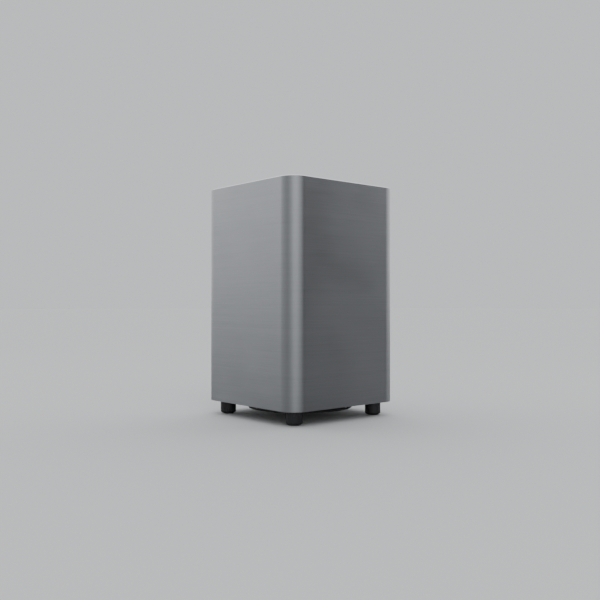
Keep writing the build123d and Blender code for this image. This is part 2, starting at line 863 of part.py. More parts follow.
def lead_pair(route, spacings):
    """Two wires side by side: each point of the route has its own spacing between them."""
    wires = []
    for side in (-1, 1):
        points = [(x + side * spacing / 2, y, z) for (x, y, z), spacing in zip(route, spacings)]
        wires.append(round_lead(points, wire_radius))
    return group(wires)


def mains_lead():
    """Two wires from the inlet's tabs to the main board's mains plug."""
    route = [
        (inlet_x, inlet_tab_end - bond_gap, controls_z),
        (inlet_x, inlet_tab_end - 8, controls_z),
        (inlet_x, inlet_tab_end - 8, controls_z + 9),
        (inlet_x, plug_y, plug_z - 6),
        (inlet_x, plug_y, plug_z - bond_gap),
    ]
    return lead_pair(route, [inlet_pin_spacing, inlet_pin_spacing, 7, plug_spacing, plug_spacing])


def speaker_lead():
    """Two wires from the main board's driver plug down to the driver's tabs."""
    route = [
        (speaker_plug_x, plug_y, plug_z - bond_gap),
        (speaker_plug_x, plug_y, plug_z - 16),
        (speaker_plug_x + 8, plug_y - 5, plug_z - 36),
        (-9, tab_end + 19, tab_z + 12),
        (0, tab_end + 10, tab_z),
        (0, tab_end + bond_gap, tab_z),
    ]
    return lead_pair(route, [plug_spacing, plug_spacing, 6, 7, tab_spacing, tab_spacing])


# ---------------------------------------------------------------- Port
def port_tube():
    """A flared tube whose flange sits in the rear board, flush with the tray's rim."""
    flare_back = port_face - port_flare
    mouth = port_radius + port_flare
    diagonal = port_flare * math.sqrt(0.5)
    flare = ThreePointArc(
        (port_radius, flare_back), (mouth - diagonal, flare_back + diagonal), (mouth, port_face)
    )
    flange_back_face = port_face - port_flange_thickness
    rest = Polyline(
        (mouth, port_face),
        (port_flange_radius, port_face),
        (port_flange_radius, flange_back_face),
        (port_neck_radius, flange_back_face),
        (port_tube_radius, flange_back_face - port_flare),
        (port_tube_radius, port_end),
        (port_radius, port_end),
        (port_radius, flare_back),
    )
    tube = revolve(make_face([*flare.edges(), *rest.edges()]), Axis.Y)
    return Pos(0, 0, port_z) * tube


def port_end_flare():
    """A separate moulded ring that is pushed over the tube's inner end."""
    socket = port_tube_radius + glue_gap
    end = port_end - glue_gap
    mouth = port_radius + port_inner_flare
    mouth_face = end - port_inner_flare
    diagonal = port_inner_flare * math.sqrt(0.5)
    flare = ThreePointArc((port_radius, end), (mouth - diagonal, end - diagonal), (mouth, mouth_face))
    rest = Polyline(
        (mouth, mouth_face),
        (mouth + port_wall, mouth_face),
        (socket + port_wall, end),
        (socket + port_wall, end + port_socket_length),
        (socket, end + port_socket_length),
        (socket, end),
        (port_radius, end),
    )
    return Pos(0, 0, port_z) * revolve(make_face([*flare.edges(), *rest.edges()]), Axis.Y)


# ---------------------------------------------------------------- Amplifier tray and its fittings
def cooling_fins():
    fin_outline = SlotOverall(fin_top - fin_bottom, fin_thickness, rotation=90)
    fin = rear_prism(fin_outline, pocket_floor - 0.5, pocket_floor + fin_height, z=(fin_top + fin_bottom) / 2)
    fin = round_edges(fin, Axis.Y, -1, fin_round)
    return [Pos((i - (fin_count - 1) / 2) * fin_pitch, 0, 0) * fin for i in range(fin_count)]


def amp_plate():
    """A cast tray: a flat rim on the rebate, a sunk pocket with cooling fins above and the sockets below."""
    rim_outline = RectangleRounded(plate_width, plate_height, plate_corner)
    plate = round_edges(rear_prism(rim_outline, rim_back, rim_face, z=plate_z), Axis.Y, -1, rim_round)
    tray_outline = RectangleRounded(tray_width, tray_height, plate_corner - 2)
    plate += rear_prism(tray_outline, tray_back, rim_back, z=plate_z)
    pocket = RectangleRounded(pocket_width, pocket_height, plate_corner - tray_wall)
    plate -= rear_prism(pocket, pocket_floor, rim_face + 1, z=plate_z)
    plate += cooling_fins()
    tapped = board_screw["shank_radius"] + thread_clearance
    for x, z in control_board_spots:
        plate += rear_disc(control_board_boss_radius, control_board_face, tray_back + 0.5, x, z)
        plate -= rear_disc(tapped, control_board_face, tray_back + 1, x, z)
    for x, z in main_board_spots:
        plate -= rear_disc(tapped, tray_back, tray_back + 2, x, z)
    through = (tray_back - 1, pocket_floor + 1)
    inlet_hole = RectangleRounded(inlet_body_width + 4 * fit_gap, inlet_body_height + 4 * fit_gap, 3)
    plate -= rear_prism(inlet_hole, *through, inlet_x, controls_z)
    plate -= rear_disc(button_radius + button_clearance, *through, button_x, controls_z)
    plate -= rear_disc(lens_radius + fit_gap, *through, lamp_x, controls_z)
    for x, z in amp_screw_spots:
        plate -= Pos(x, rim_face, z) * REARWARD * flat_screw_hole(**amp_screw)
    return plate


def amp_gasket():
    outer = RectangleRounded(plate_width - plate_gap, plate_height - plate_gap, plate_corner)
    gasket = rear_prism(outer - tray_window(), amp_seat, rim_back, z=plate_z)
    for x, z in amp_screw_spots:
        gasket -= rear_disc(amp_screw["shank_radius"] + gasket_clearance, amp_seat, rim_back, x, z)
    return gasket


def amp_screws():
    screw = REARWARD * flat_screw(**amp_screw)
    return group(Pos(x, rim_face - fit_gap, z) * screw for x, z in amp_screw_spots)


def ac_inlet():
    """A two-pin mains inlet with a figure-of-eight mouth."""
    bezel_rim = 2 * inlet_bezel_rim
    bezel = RectangleRounded(inlet_body_width + bezel_rim, inlet_body_height + bezel_rim, 3.5)
    inlet = rear_prism(bezel, pocket_floor, inlet_face, inlet_x, controls_z)
    inlet = round_edges(inlet, Axis.Y, -1, 0.6)
    body = RectangleRounded(inlet_body_width, inlet_body_height, 2.8)
    inlet += rear_prism(body, inlet_back, pocket_floor, inlet_x, controls_z)
    mouth = SlotOverall(inlet_slot_width, inlet_slot_height)
    notch = RectangleRounded(2.2, 2 * inlet_waist, 0.6)
    for side in (-1, 1):
        mouth -= Pos(0, side * inlet_slot_height / 2) * notch
    inlet -= rear_prism(mouth, inlet_cavity_floor, inlet_face + 1, inlet_x, controls_z)
    for side in (-1, 1):
        x = inlet_x + side * inlet_pin_spacing / 2
        inlet -= rear_disc(inlet_pin_radius + bond_gap, inlet_back - 1, inlet_cavity_floor + 1, x, controls_z)
    return inlet


def inlet_pins():
    tip = inlet_cavity_floor + inlet_pin_length
    pin = round_edges(rear_disc(inlet_pin_radius, inlet_tab_end, tip), Axis.Y, -1, inlet_pin_radius / 2)
    return group(Pos(inlet_x + side * inlet_pin_spacing / 2, 0, controls_z) * pin for side in (-1, 1))


def pair_button():
    """A round button with a dished face, a retaining flange behind the tray and a nib for the switch."""
    flange_front = tray_back - button_clearance
    flange_rear = flange_front - button_flange_thickness
    cap_face = pocket_floor + button_stand_out
    button = round_edges(rear_disc(button_radius, flange_rear, cap_face), Axis.Y, -1, 0.7)
    dish_radius = (button_radius**2 + button_dish**2) / (2 * button_dish)
    button -= Pos(0, cap_face + dish_radius - button_dish, 0) * Sphere(dish_radius)
    button += rear_disc(button_radius + button_flange_rim, flange_rear, flange_front)
    button += rear_disc(button_nib_radius, button_nib_end, flange_rear + 0.2)
    return Pos(button_x, 0, controls_z) * button


def switch_plunger():
    low = switch_face - switch_plunger_depth
    return rear_disc(switch_plunger_radius, low, switch_face + switch_plunger_stand_out, button_x, controls_z)


def tact_switch():
    body = RectangleRounded(switch_width, switch_width, 0.6)
    switch = rear_prism(body, control_board_face, switch_face, button_x, controls_z)
    well_floor = switch_face - switch_plunger_depth - button_travel - button_clearance
    well = rear_disc(switch_plunger_radius + button_clearance, well_floor, switch_face, button_x, controls_z)
    return switch - well


def status_lamp():
    """A light-emitting diode on the control board."""
    lamp = rear_disc(lamp_radius, control_board_face, control_board_face + lamp_height)
    lamp = round_edges(lamp, Axis.Y, -1, 0.8 * lamp_radius)
    lamp += rear_disc(lamp_radius + 0.5, control_board_face, control_board_face + 0.8)
    return Pos(lamp_x, 0, controls_z) * lamp


def lamp_lens():
    """A clear light pipe through the tray, with a shoulder behind it."""
    back = tray_back - lens_shoulder - fit_gap
    lens = rear_disc(lens_radius, back, pocket_floor + lens_stand_out)
    lens = round_edges(lens, Axis.Y, -1, lens_radius / 2)
    lens += rear_disc(lens_radius + lens_shoulder, back, tray_back - fit_gap)
    return Pos(lamp_x, 0, controls_z) * lens


# ---------------------------------------------------------------- Electronics
def control_board():
    outline = RectangleRounded(control_board_width, control_board_height, 1.5)
    board = rear_prism(outline, control_board_back, control_board_face, control_board_x, controls_z)
    hole = board_screw["shank_radius"] + screw_clearance
    for x, z in control_board_spots:
        board -= rear_disc(hole, control_board_back, control_board_face, x, z)
    return board


def main_board():
    outline = RectangleRounded(main_board_width, main_board_height, 2)
    board = rear_prism(outline, main_board_back, main_board_face, z=main_board_z)
    hole = board_screw["shank_radius"] + screw_clearance
    for x, z in main_board_spots:
        board -= rear_disc(hole, main_board_back, main_board_face, x, z)
    return board


def board_standoffs():
    """Hexagonal pillars between the tray and the main board, tapped at the board's end."""
    shank = board_screw["shank_radius"]
    pillar = rear_prism(RegularPolygon(standoff_radius, 6), main_board_face, tray_back)
    pillar -= rear_disc(shank + thread_clearance, main_board_face, main_board_face + board_screw["length"])
    pillar += rear_disc(shank, tray_back - 0.5, tray_back + 1.8)
    return group(Pos(x, 0, z) * pillar.solid() for x, z in main_board_spots)


def board_screws():
    screw = Rot(90, 0, 0) * pan_screw(**board_screw)
    main = [Pos(x, main_board_back, z) * screw for x, z in main_board_spots]
    control = [Pos(x, control_board_back, z) * screw for x, z in control_board_spots]
    return group(main + control)


def on_board(x, z, width, height, rise, radius=0.8):
    """A block that stands on the main board's inner side, x and z from the board's middle."""
    outline = RectangleRounded(width, height, radius)
    return rear_prism(outline, main_board_back - rise, main_board_back, x, main_board_z + z)


def can_on_board(x, z, radius, rise):
    """A round can on the main board's inner side, with a rounded crown."""
    can = rear_disc(radius, main_board_back - rise, main_board_back, x, main_board_z + z)
    return round_edges(can, Axis.Y, 0, 0.8)


def amp_chip():
    outline = RectangleRounded(16, 16, 0.6)
    return rear_prism(outline, main_board_face, main_board_face + amp_chip_rise, 0, main_board_z + 12)


def heat_spreader():
    """A block of aluminium that carries the amplifier chip's heat to the tray."""
    low = main_board_face + amp_chip_rise + glue_gap
    return rear_prism(RectangleRounded(44, 30, 2), low, tray_back - glue_gap, 0, main_board_z + 12)


def power_transformer():
    """A ferrite core round a taped winding on its bobbin."""
    core = on_board(26, 8, 30, 12, 27)
    bobbin = on_board(26, 8, 23, 26, 24, 5)
    return group([core.solid(), *(bobbin - core).solids()])


def board_capacitors():
    """Two tall reservoir cans and five small ones."""
    tall = [(-4, -22), (15, -22)]
    small = [(-46, -10), (-46, 2), (-3, 33), (6, 33), (47, 10)]
    cans = [can_on_board(x, z, 8.5, 30) for x, z in tall]
    cans += [can_on_board(x, z, 4.0, 12) for x, z in small]
    return group(can.solid() for can in cans)


def output_chokes():
    """Two shielded chokes of the class-D output filter."""
    return group(on_board(x, -2, 13, 13, 11, 3).solid() for x in (-30, -14))


def mains_choke():
    """The common-mode choke of the mains filter: a frame core between two windings."""
    core = on_board(38, -14, 18, 6, 15)
    left, right = (on_board(x, -14, 6, 13, 18, 2.5) for x in (32.5, 43.5))
    return group([*(core - left - right).solids(), left.solid(), right.solid()])


def board_plugs():
    """The wire-to-board plugs of the mains and driver leads, on the main board's lower edge."""
    z = plug_bottom + plug_height / 2
    plugs = [on_board(x, z, plug_width, plug_height, plug_rise) for x in (inlet_x, speaker_plug_x)]
    return group(plug.solid() for plug in plugs)


def wireless_module():
    """A small radio board on a header, with a pressed shield over its parts."""
    rise = 6.0
    header = on_board(-30, 17, 20, 2.6, rise)
    board_back = main_board_back - rise
    radio_z = main_board_z + 26
    board = rear_prism(RectangleRounded(34, 24, 1), board_back - 1, board_back, -26, radio_z)
    shield = rear_prism(RectangleRounded(22, 17, 1), board_back - 3.4, board_back - 1, -28, radio_z)
    return group([header.solid(), board.solid(), shield.solid()])


# ---------------------------------------------------------------- All pieces, by node name
pieces = {
    "brushed_sleeve": brushed_sleeve(),
    "top_plate": top_plate(),
    "top_board": top_board(),
    "bottom_board": bottom_board(),
    "front_board": front_board(),
    "rear_board": rear_board(),
    "left_board": side_board(-1),
    "right_board": side_board(1),
    "corner_posts": corner_posts(),
    "damping_pad_left": damping_pad(-1, 0),
    "damping_pad_right": damping_pad(1, 0),
    "damping_pad_front": damping_pad(0, -1),
    **{name: foot(side_x, side_y) for name, side_x, side_y in foot_spots},
    "foot_pads": foot_pads(),
    "foot_screws": foot_screws(),
    "driver_basket": driver_basket(),
    "driver_gasket": driver_gasket(),
    "driver_screws": driver_screws(),
    "pole_plate": pole_plate(),
    "magnet_ring": magnet_ring(),
    "yoke": yoke(),
    "surround": surround(),
    "cone": cone(),
    "dust_cap": dust_cap(),
    "spider": spider(),
    "voice_coil_former": voice_coil_former(),
    "voice_coil": voice_coil(),
    "driver_terminals": driver_terminals(),
    "tinsel_leads": tinsel_leads(),
    "driver_guard": driver_guard(),
    "guard_screws": guard_screws(),
    "port_tube": port_tube(),
    "port_end_flare": port_end_flare(),
    "amp_plate": amp_plate(),
    "amp_gasket": amp_gasket(),
    "amp_screws": amp_screws(),
    "ac_inlet": ac_inlet(),
    "inlet_pins": inlet_pins(),
    "pair_button": pair_button(),
    "switch_plunger": switch_plunger(),
    "tact_switch": tact_switch(),
    "status_lamp": status_lamp(),
    "lamp_lens": lamp_lens(),
    "control_board": control_board(),
    "main_board": main_board(),
    "board_standoffs": board_standoffs(),
    "board_screws": board_screws(),
    "amp_chip": amp_chip(),
    "heat_spreader": heat_spreader(),
    "power_transformer": power_transformer(),
    "board_capacitors": board_capacitors(),
    "output_chokes": output_chokes(),
    "mains_choke": mains_choke(),
    "board_plugs": board_plugs(),
    "wireless_module": wireless_module(),
    "mains_lead": mains_lead(),
    "speaker_lead": speaker_lead(),
}

os.makedirs("parts", exist_ok=True)
for name, shape in pieces.items():
    export_step(shape, f"parts/{name}.step")
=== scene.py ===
"""The looks of a soundbar's wireless subwoofer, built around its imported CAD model."""
import bmesh
import bpy
import json
import math
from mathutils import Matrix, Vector, noise


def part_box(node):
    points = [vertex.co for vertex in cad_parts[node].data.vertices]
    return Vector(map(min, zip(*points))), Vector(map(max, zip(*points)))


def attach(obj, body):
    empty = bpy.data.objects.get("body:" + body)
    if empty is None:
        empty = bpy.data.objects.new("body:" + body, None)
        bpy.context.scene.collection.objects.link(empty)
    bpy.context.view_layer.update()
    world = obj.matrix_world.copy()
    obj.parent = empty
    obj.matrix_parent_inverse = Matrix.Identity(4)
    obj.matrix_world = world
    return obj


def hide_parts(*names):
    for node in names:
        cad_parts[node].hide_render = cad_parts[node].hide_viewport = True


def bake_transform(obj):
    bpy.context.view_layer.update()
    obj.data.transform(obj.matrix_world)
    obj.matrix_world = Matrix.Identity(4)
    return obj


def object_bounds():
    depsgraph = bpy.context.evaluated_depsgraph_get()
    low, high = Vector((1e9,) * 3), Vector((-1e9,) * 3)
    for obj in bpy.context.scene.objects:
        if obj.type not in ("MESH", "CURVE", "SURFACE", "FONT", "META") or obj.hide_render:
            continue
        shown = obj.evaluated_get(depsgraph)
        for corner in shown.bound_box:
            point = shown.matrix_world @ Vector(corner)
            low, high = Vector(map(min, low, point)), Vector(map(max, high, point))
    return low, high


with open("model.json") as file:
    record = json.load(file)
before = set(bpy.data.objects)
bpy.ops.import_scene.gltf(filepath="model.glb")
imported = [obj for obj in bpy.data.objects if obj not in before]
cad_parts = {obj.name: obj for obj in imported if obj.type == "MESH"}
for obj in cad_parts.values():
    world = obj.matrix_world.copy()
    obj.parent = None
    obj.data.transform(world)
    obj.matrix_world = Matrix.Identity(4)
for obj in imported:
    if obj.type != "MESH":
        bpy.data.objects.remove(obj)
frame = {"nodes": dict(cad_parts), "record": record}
cad_low, cad_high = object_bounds()
MM = 0.001
CABINET = "cabinet"
CONE = "woofer_cone"
SLOTS = {row["node"]: row["material_slot"] for row in frame["record"]["subparts"]}


# ---------------------------------------------------------------- Places read from the frame
def corners(node):
    """The lowest and the highest corner of a node's box at rest."""
    return [Vector(corner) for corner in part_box(node)]


def middle(node):
    """The middle of a node's box at rest."""
    low, high = corners(node)
    return (low + high) / 2


def size(node):
    """The size of a node's box at rest."""
    low, high = corners(node)
    return high - low


sleeve_low, sleeve_high = corners("brushed_sleeve")
cabinet_width = sleeve_high.x - sleeve_low.x
cabinet_depth = sleeve_high.y - sleeve_low.y
cabinet_height = sleeve_high.z - sleeve_low.z
corner_radius = 27 * MM
sleeve_wall = 2 * MM
former_radius = size("voice_coil_former").x / 2
glue_line = 0.05 * MM


# ---------------------------------------------------------------- Node helpers
NOISE_RANGE = (0.3, 0.7)  # where most values of a noise lie


class Paint:
    """Short calls that add nodes to the tree of a material or a world and link them."""

    def __init__(self, owner):
        """Works on this material or world."""
        owner.use_nodes = True
        self.owner = owner
        self.tree = owner.node_tree
        self.shader = self.tree.nodes.get("Principled BSDF")

    def add(self, kind, settings=None, values=None, links=None):
        """A new node: its settings, the constants on its sockets, and the outputs linked to its sockets."""
        node = self.tree.nodes.new(kind)
        for key, value in (settings or {}).items():
            setattr(node, key, value)
        for key, value in (values or {}).items():
            node.inputs[key].default_value = value
        for key, value in (links or {}).items():
            self.tree.links.new(value, node.inputs[key])
        return node

    def feed(self, socket, value):
        """Links a socket if the value is a node's output, and otherwise sets it to that constant."""
        if isinstance(value, bpy.types.NodeSocket):
            self.tree.links.new(value, socket)
        else:
            socket.default_value = value

    def set(self, **values):
        """Constant values on the shader's own sockets, with underscores for spaces."""
        for key, value in values.items():
            self.shader.inputs[key.replace("_", " ")].default_value = value
        return self

    def link(self, output, socket):
        """Links an output to one of the shader's own sockets."""
        self.tree.links.new(output, self.shader.inputs[socket])
        return self

    # Patterns
    def place(self, scale=(1, 1, 1)):
        """Object coordinates in metres, scaled."""
        coordinates = self.add("ShaderNodeTexCoord").outputs["Object"]
        mapping = self.add("ShaderNodeMapping", values={"Scale": scale}, links={"Vector": coordinates})
        return mapping.outputs[0]

    def noise(self, period, stretch=(1, 1, 1), detail=3, roughness=0.55):
        """Noise whose grains are about a period across, in metres, and longer where stretch is over 1."""
        scale = tuple(1 / (period * s) for s in stretch)
        values = {"Scale": 1.0, "Detail": detail, "Roughness": roughness}
        node = self.add("ShaderNodeTexNoise", values=values, links={"Vector": self.place(scale)})
        return node.outputs["Fac"]

    def cells(self, period, feature="F1", randomness=1.0):
        """The distance to the middle or the edge of cells that are about a period across, in metres."""
        values = {"Scale": 1.0, "Randomness": randomness}
        links = {"Vector": self.place((1 / period,) * 3)}
        return self.add("ShaderNodeTexVoronoi", {"feature": feature}, values, links).outputs["Distance"]

    def waves(self, scale, axis, distortion=0.0, detail=0.0):
        """Soft bands across an axis. They repeat every 0.314 m divided by the scale."""
        settings = {"wave_type": "BANDS", "bands_direction": axis}
        values = {"Scale": scale, "Distortion": distortion, "Detail": detail}
        return self.add("ShaderNodeTexWave", settings, values, {"Vector": self.place()}).outputs["Fac"]

    def worn_edges(self, reach):
        """1 within reach of sharp edges, where hands and tools rub, broken up by noise, and 0 elsewhere."""
        rounded = self.add("ShaderNodeBevel", {"samples": 4}, {"Radius": reach}).outputs[0]
        normal = self.add("ShaderNodeNewGeometry").outputs["Normal"]
        edge = self.remap(self.dot(rounded, normal), 0.97, 0.80)
        patches = self.remap(self.noise(6 * MM), 0.40, 0.60)
        return self.math("MULTIPLY", edge, patches)

    def facing(self, direction):
        """How far the surface's own normal points in a direction: 1 straight along it, and -1 against it."""
        normal = self.add("ShaderNodeNewGeometry").outputs["True Normal"]
        return self.dot(normal, direction)

    # Arithmetic
    def math(self, operation, first, second):
        """One step of arithmetic. Each side is a number or an output."""
        node = self.add("ShaderNodeMath", {"operation": operation})
        self.feed(node.inputs[0], first)
        self.feed(node.inputs[1], second)
        return node.outputs[0]

    def dot(self, first, second):
        """The dot product of an output with a second one, or with a constant direction."""
        node = self.add("ShaderNodeVectorMath", {"operation": "DOT_PRODUCT"})
        self.feed(node.inputs[0], first)
        self.feed(node.inputs[1], second)
        return node.outputs["Value"]

    def remap(self, value, low, high, to_low=0.0, to_high=1.0, smooth=True):
        """Moves values between low and high to a new range, and holds the ones beyond at its ends."""
        settings = {"interpolation_type": "SMOOTHSTEP" if smooth else "LINEAR"}
        values = {"From Min": low, "From Max": high, "To Min": to_low, "To Max": to_high}
        return self.add("ShaderNodeMapRange", settings, values, {"Value": value}).outputs[0]

    def spread(self, pattern, low, high):
        """A noise spread out over this range."""
        return self.remap(pattern, *NOISE_RANGE, low, high)

    def spots(self, distance, inner, outer):
        """1 nearer than inner and 0 beyond outer, for a distance from cells()."""
        return self.remap(distance, inner, outer, 1.0, 0.0)

    def blend(self, factor, first, second):
        """A colour between two, by a factor. Each is a colour or an output."""
        node = self.add("ShaderNodeMix", {"data_type": "RGBA"}, links={"Factor": factor})
        first_colour, second_colour, result = node.inputs[6], node.inputs[7], node.outputs[2]
        for socket, value in ((first_colour, first), (second_colour, second)):
            self.feed(socket, (*value, 1.0) if isinstance(value, tuple) else value)
        return result

    def bump(self, pattern, height, strength, over=None):
        """A bump of this real height in metres, on top of another one if given."""
        links = {"Height": pattern}
        if over is not None:
            links["Normal"] = over
        values = {"Strength": strength, "Distance": height}
        return self.add("ShaderNodeBump", values=values, links=links).outputs[0]

    # What the shader shows
    def colour(self, factor, first, second):
        """Colours the surface between two colours, by a factor."""
        return self.link(self.blend(factor, first, second), "Base Color")

    def rough(self, pattern, low, high):
        """Spreads the roughness between two values, by a noise."""
        return self.link(self.spread(pattern, low, high), "Roughness")

    def relief(self, pattern, height, strength, over=None):
        """Raises the surface by a pattern of this real height in metres."""
        return self.link(self.bump(pattern, height, strength, over), "Normal")


def new_paint(name):
    """A Paint on a new material."""
    return Paint(bpy.data.materials.new(name))


def shade(factor, colour):
    """A colour made darker, or lighter where the factor is over 1."""
    return tuple(factor * part for part in colour)


def new_object(name, data):
    """A new object with this data, linked to the scene."""
    thing = bpy.data.objects.new(name, data)
    bpy.context.scene.collection.objects.link(thing)
    return thing


# ---------------------------------------------------------------- Materials: metals
ANODISED_GREY = (0.46, 0.47, 0.49)
HAIR_LENGTH = 220  # how many times longer than wide a hairline is
HAIRLINES = ((0.16 * MM, 2, 0.5), (0.6 * MM, 3, 0.3), (2.2 * MM, 2, 0.2))  # period, detail, share
QUARTER_TURN = 0.25


def brushed_metal(name, grain):
    """Anodised aluminium with hairlines. grain is how far the hairlines are drawn out along X, Y and Z."""
    paint = new_paint(name)
    lines = 0.0
    for period, detail, share in HAIRLINES:
        layer = paint.math("MULTIPLY", paint.noise(period, grain, detail), share)
        lines = paint.math("ADD", lines, layer)
    broad = paint.noise(90 * MM, detail=2)
    paint.colour(paint.remap(lines, 0.36, 0.64), shade(0.92, ANODISED_GREY), shade(1.07, ANODISED_GREY))
    rough = paint.math("ADD", paint.spread(lines, 0.30, 0.38), paint.spread(broad, -0.02, 0.03))
    paint.link(rough, "Roughness")
    paint.relief(lines, 0.012 * MM, 0.5)
    tangent = paint.add("ShaderNodeTangent", {"direction_type": "RADIAL", "axis": "Z"})
    paint.link(tangent.outputs[0], "Tangent")
    return paint.set(Metallic=1.0, Anisotropic=0.65, Anisotropic_Rotation=QUARTER_TURN).owner


def top_metal():
    """The top plate: the sleeve's metal, brushed from side to side."""
    paint = Paint(brushed_metal("top_metal", (HAIR_LENGTH, 1, 1)))
    rearward = (0, 1, 0)
    normal = paint.add("ShaderNodeNewGeometry").outputs["Normal"]
    across = paint.add("ShaderNodeVectorMath", {"operation": "CROSS_PRODUCT"}, {0: rearward}, {1: normal})
    return paint.link(across.outputs[0], "Tangent").owner


def cut_edge():
    """The diamond-cut top edge: bright, with fine tool marks."""
    paint = new_paint("cut_edge")
    marks = paint.noise(0.25 * MM, (30, 30, 1))
    paint.colour(marks, (0.70, 0.71, 0.73), (0.82, 0.83, 0.85))
    paint.link(paint.remap(marks, 0.2, 0.8, 0.16, 0.28), "Roughness")
    paint.relief(marks, 0.01 * MM, 0.5)
    return paint.set(Metallic=1.0).owner


def plain_metal(name, base=(0.58, 0.59, 0.60), roughness=0.32):
    """Plated or bare metal, with a mottled shine and fine scratches."""
    paint = new_paint(name)
    mottle = paint.noise(2.5 * MM, detail=4)
    scratches = paint.noise(0.4 * MM, (14, 1, 2), detail=2)
    paint.colour(mottle, shade(0.86, base), shade(1.06, base))
    paint.rough(mottle, roughness - 0.07, roughness + 0.1)
    paint.relief(scratches, 0.02 * MM, 0.4)
    return paint.set(Metallic=1.0).owner


def black_oxide():
    """Blackened screws, rubbed bright on their edges."""
    paint = new_paint("black_oxide")
    mottle = paint.noise(1.2 * MM, detail=4)
    black = paint.blend(mottle, (0.022, 0.022, 0.024), (0.05, 0.05, 0.053))
    paint.colour(paint.worn_edges(0.2 * MM), black, (0.30, 0.30, 0.31))
    paint.rough(mottle, 0.30, 0.46)
    paint.relief(mottle, 0.03 * MM, 0.4)
    return paint.set(Metallic=0.85).owner


def powder_coat(name, grain=0.7 * MM, height=0.09 * MM):
    """Black paint with a fine orange-peel texture of this grain and height, thin on sharp edges."""
    paint = new_paint(name)
    cloud = paint.noise(25 * MM)
    black = paint.blend(cloud, (0.014, 0.014, 0.015), (0.026, 0.026, 0.028))
    paint.colour(paint.worn_edges(0.4 * MM), black, (0.12, 0.12, 0.125))
    paint.rough(cloud, 0.42, 0.55)
    paint.relief(paint.cells(grain), height, 0.6)
    return paint.set(Specular_IOR_Level=0.45).owner


def copper_wire():
    """Enamelled copper: turns of wire 0.9 mm apart, with painted shade in the grooves between them, and the
    enamel's clear gloss on top.
    """
    paint = new_paint("copper_wire")
    cloud = paint.noise(3 * MM)
    turns = paint.waves(350, "Z")
    bright = paint.blend(cloud, (0.46, 0.17, 0.07), (0.72, 0.33, 0.16))
    # painted shade: the dark copper colour lies in the grooves between the turns
    paint.colour(turns, (0.22, 0.07, 0.03), bright)
    paint.rough(cloud, 0.22, 0.36)
    paint.relief(turns, 0.06 * MM, 0.7)
    return paint.set(Metallic=1.0, Coat_Weight=0.5, Coat_Roughness=0.1).owner


# ---------------------------------------------------------------- Materials: plastics and rubber
def moulded_plastic(name, base, roughness, grain=0.35 * MM, height=0.03 * MM):
    """Moulded plastic: a spark-eroded grain of this size and height, flow marks and polished edges."""
    paint = new_paint(name)
    flow = paint.noise(18 * MM, (1, 1, 3))
    polished = paint.worn_edges(0.3 * MM)
    colour = paint.blend(flow, shade(0.8, base), shade(1.3, base))
    paint.colour(polished, colour, shade(1.9, base))
    rough = paint.spread(flow, roughness - 0.04, roughness + 0.05)
    paint.link(paint.math("SUBTRACT", rough, paint.math("MULTIPLY", polished, 0.1)), "Roughness")
    return paint.relief(paint.noise(grain, detail=2), height, 0.5).owner


def soft_rubber(name, base=(0.016, 0.016, 0.016), roughness=0.62):
    """Rubber with a dusty bloom and tiny pores."""
    paint = new_paint(name)
    bloom = paint.noise(9 * MM, detail=4, roughness=0.6)
    paint.colour(paint.remap(bloom, 0.35, 0.75), base, shade(2.2, base))
    paint.rough(bloom, roughness - 0.1, roughness + 0.1)
    paint.relief(paint.cells(0.6 * MM), 0.05 * MM, 0.5)
    return paint.set(Specular_IOR_Level=0.35).owner


def closed_foam():
    """Black gasket foam with closed pores, with painted shade darkening the middle of each pore."""
    paint = new_paint("closed_foam")
    pores = paint.cells(0.5 * MM)
    # painted shade: each pore is darkest at its middle, where it is deepest
    paint.colour(pores, (0.012, 0.012, 0.012), (0.05, 0.05, 0.05))
    paint.relief(pores, 0.2 * MM, 0.8)
    return paint.set(Roughness=0.9, Specular_IOR_Level=0.2).owner


def clear_resin(name, tint=(0.88, 0.92, 0.95)):
    """Clear plastic of a lamp or a light pipe, slightly hazy."""
    paint = new_paint(name)
    haze = paint.noise(1.5 * MM)
    paint.colour(haze, shade(0.96, tint), tint)
    paint.rough(haze, 0.05, 0.14)
    return paint.set(Transmission_Weight=0.85, IOR=1.49).owner


def nylon():
    """The off-white, slightly waxy nylon of wire plugs."""
    paint = new_paint("nylon")
    paint.colour(paint.noise(4 * MM), (0.66, 0.64, 0.58), (0.80, 0.79, 0.74))
    paint.relief(paint.noise(0.3 * MM), 0.02 * MM, 0.5)
    return paint.set(Roughness=0.45, Subsurface_Weight=0.1).owner


def wire_jacket(name, base):
    """The insulation of a hook-up wire: a slight shine, and a fine unevenness."""
    paint = new_paint(name)
    cloud = paint.noise(5 * MM)
    paint.colour(cloud, shade(0.75, base), shade(1.2, base))
    paint.rough(cloud, 0.34, 0.5)
    return paint.relief(paint.noise(0.5 * MM), 0.02 * MM, 0.4).owner


def amber_film():
    """The smooth amber film of the voice coil's former."""
    paint = new_paint("amber_film")
    cloud = paint.noise(3 * MM)
    paint.colour(cloud, (0.36, 0.15, 0.03), (0.52, 0.27, 0.07))
    paint.rough(cloud, 0.2, 0.32)
    return paint.set(Coat_Weight=0.3).owner


# ---------------------------------------------------------------- Materials: wood, paper, cloth, ceramics
def fibreboard(name):
    """Medium-density fibreboard: short felted fibres and darker specks."""
    paint = new_paint(name)
    felt = paint.noise(0.9 * MM, (3, 3, 1), detail=4, roughness=0.65)
    specks = paint.spots(paint.cells(2.2 * MM), 0.08, 0.2)
    board = paint.blend(felt, (0.30, 0.19, 0.10), (0.50, 0.36, 0.22))
    paint.colour(paint.math("MULTIPLY", specks, 0.5), board, (0.16, 0.09, 0.05))
    paint.relief(felt, 0.12 * MM, 0.6)
    return paint.set(Roughness=0.82, Specular_IOR_Level=0.25).owner


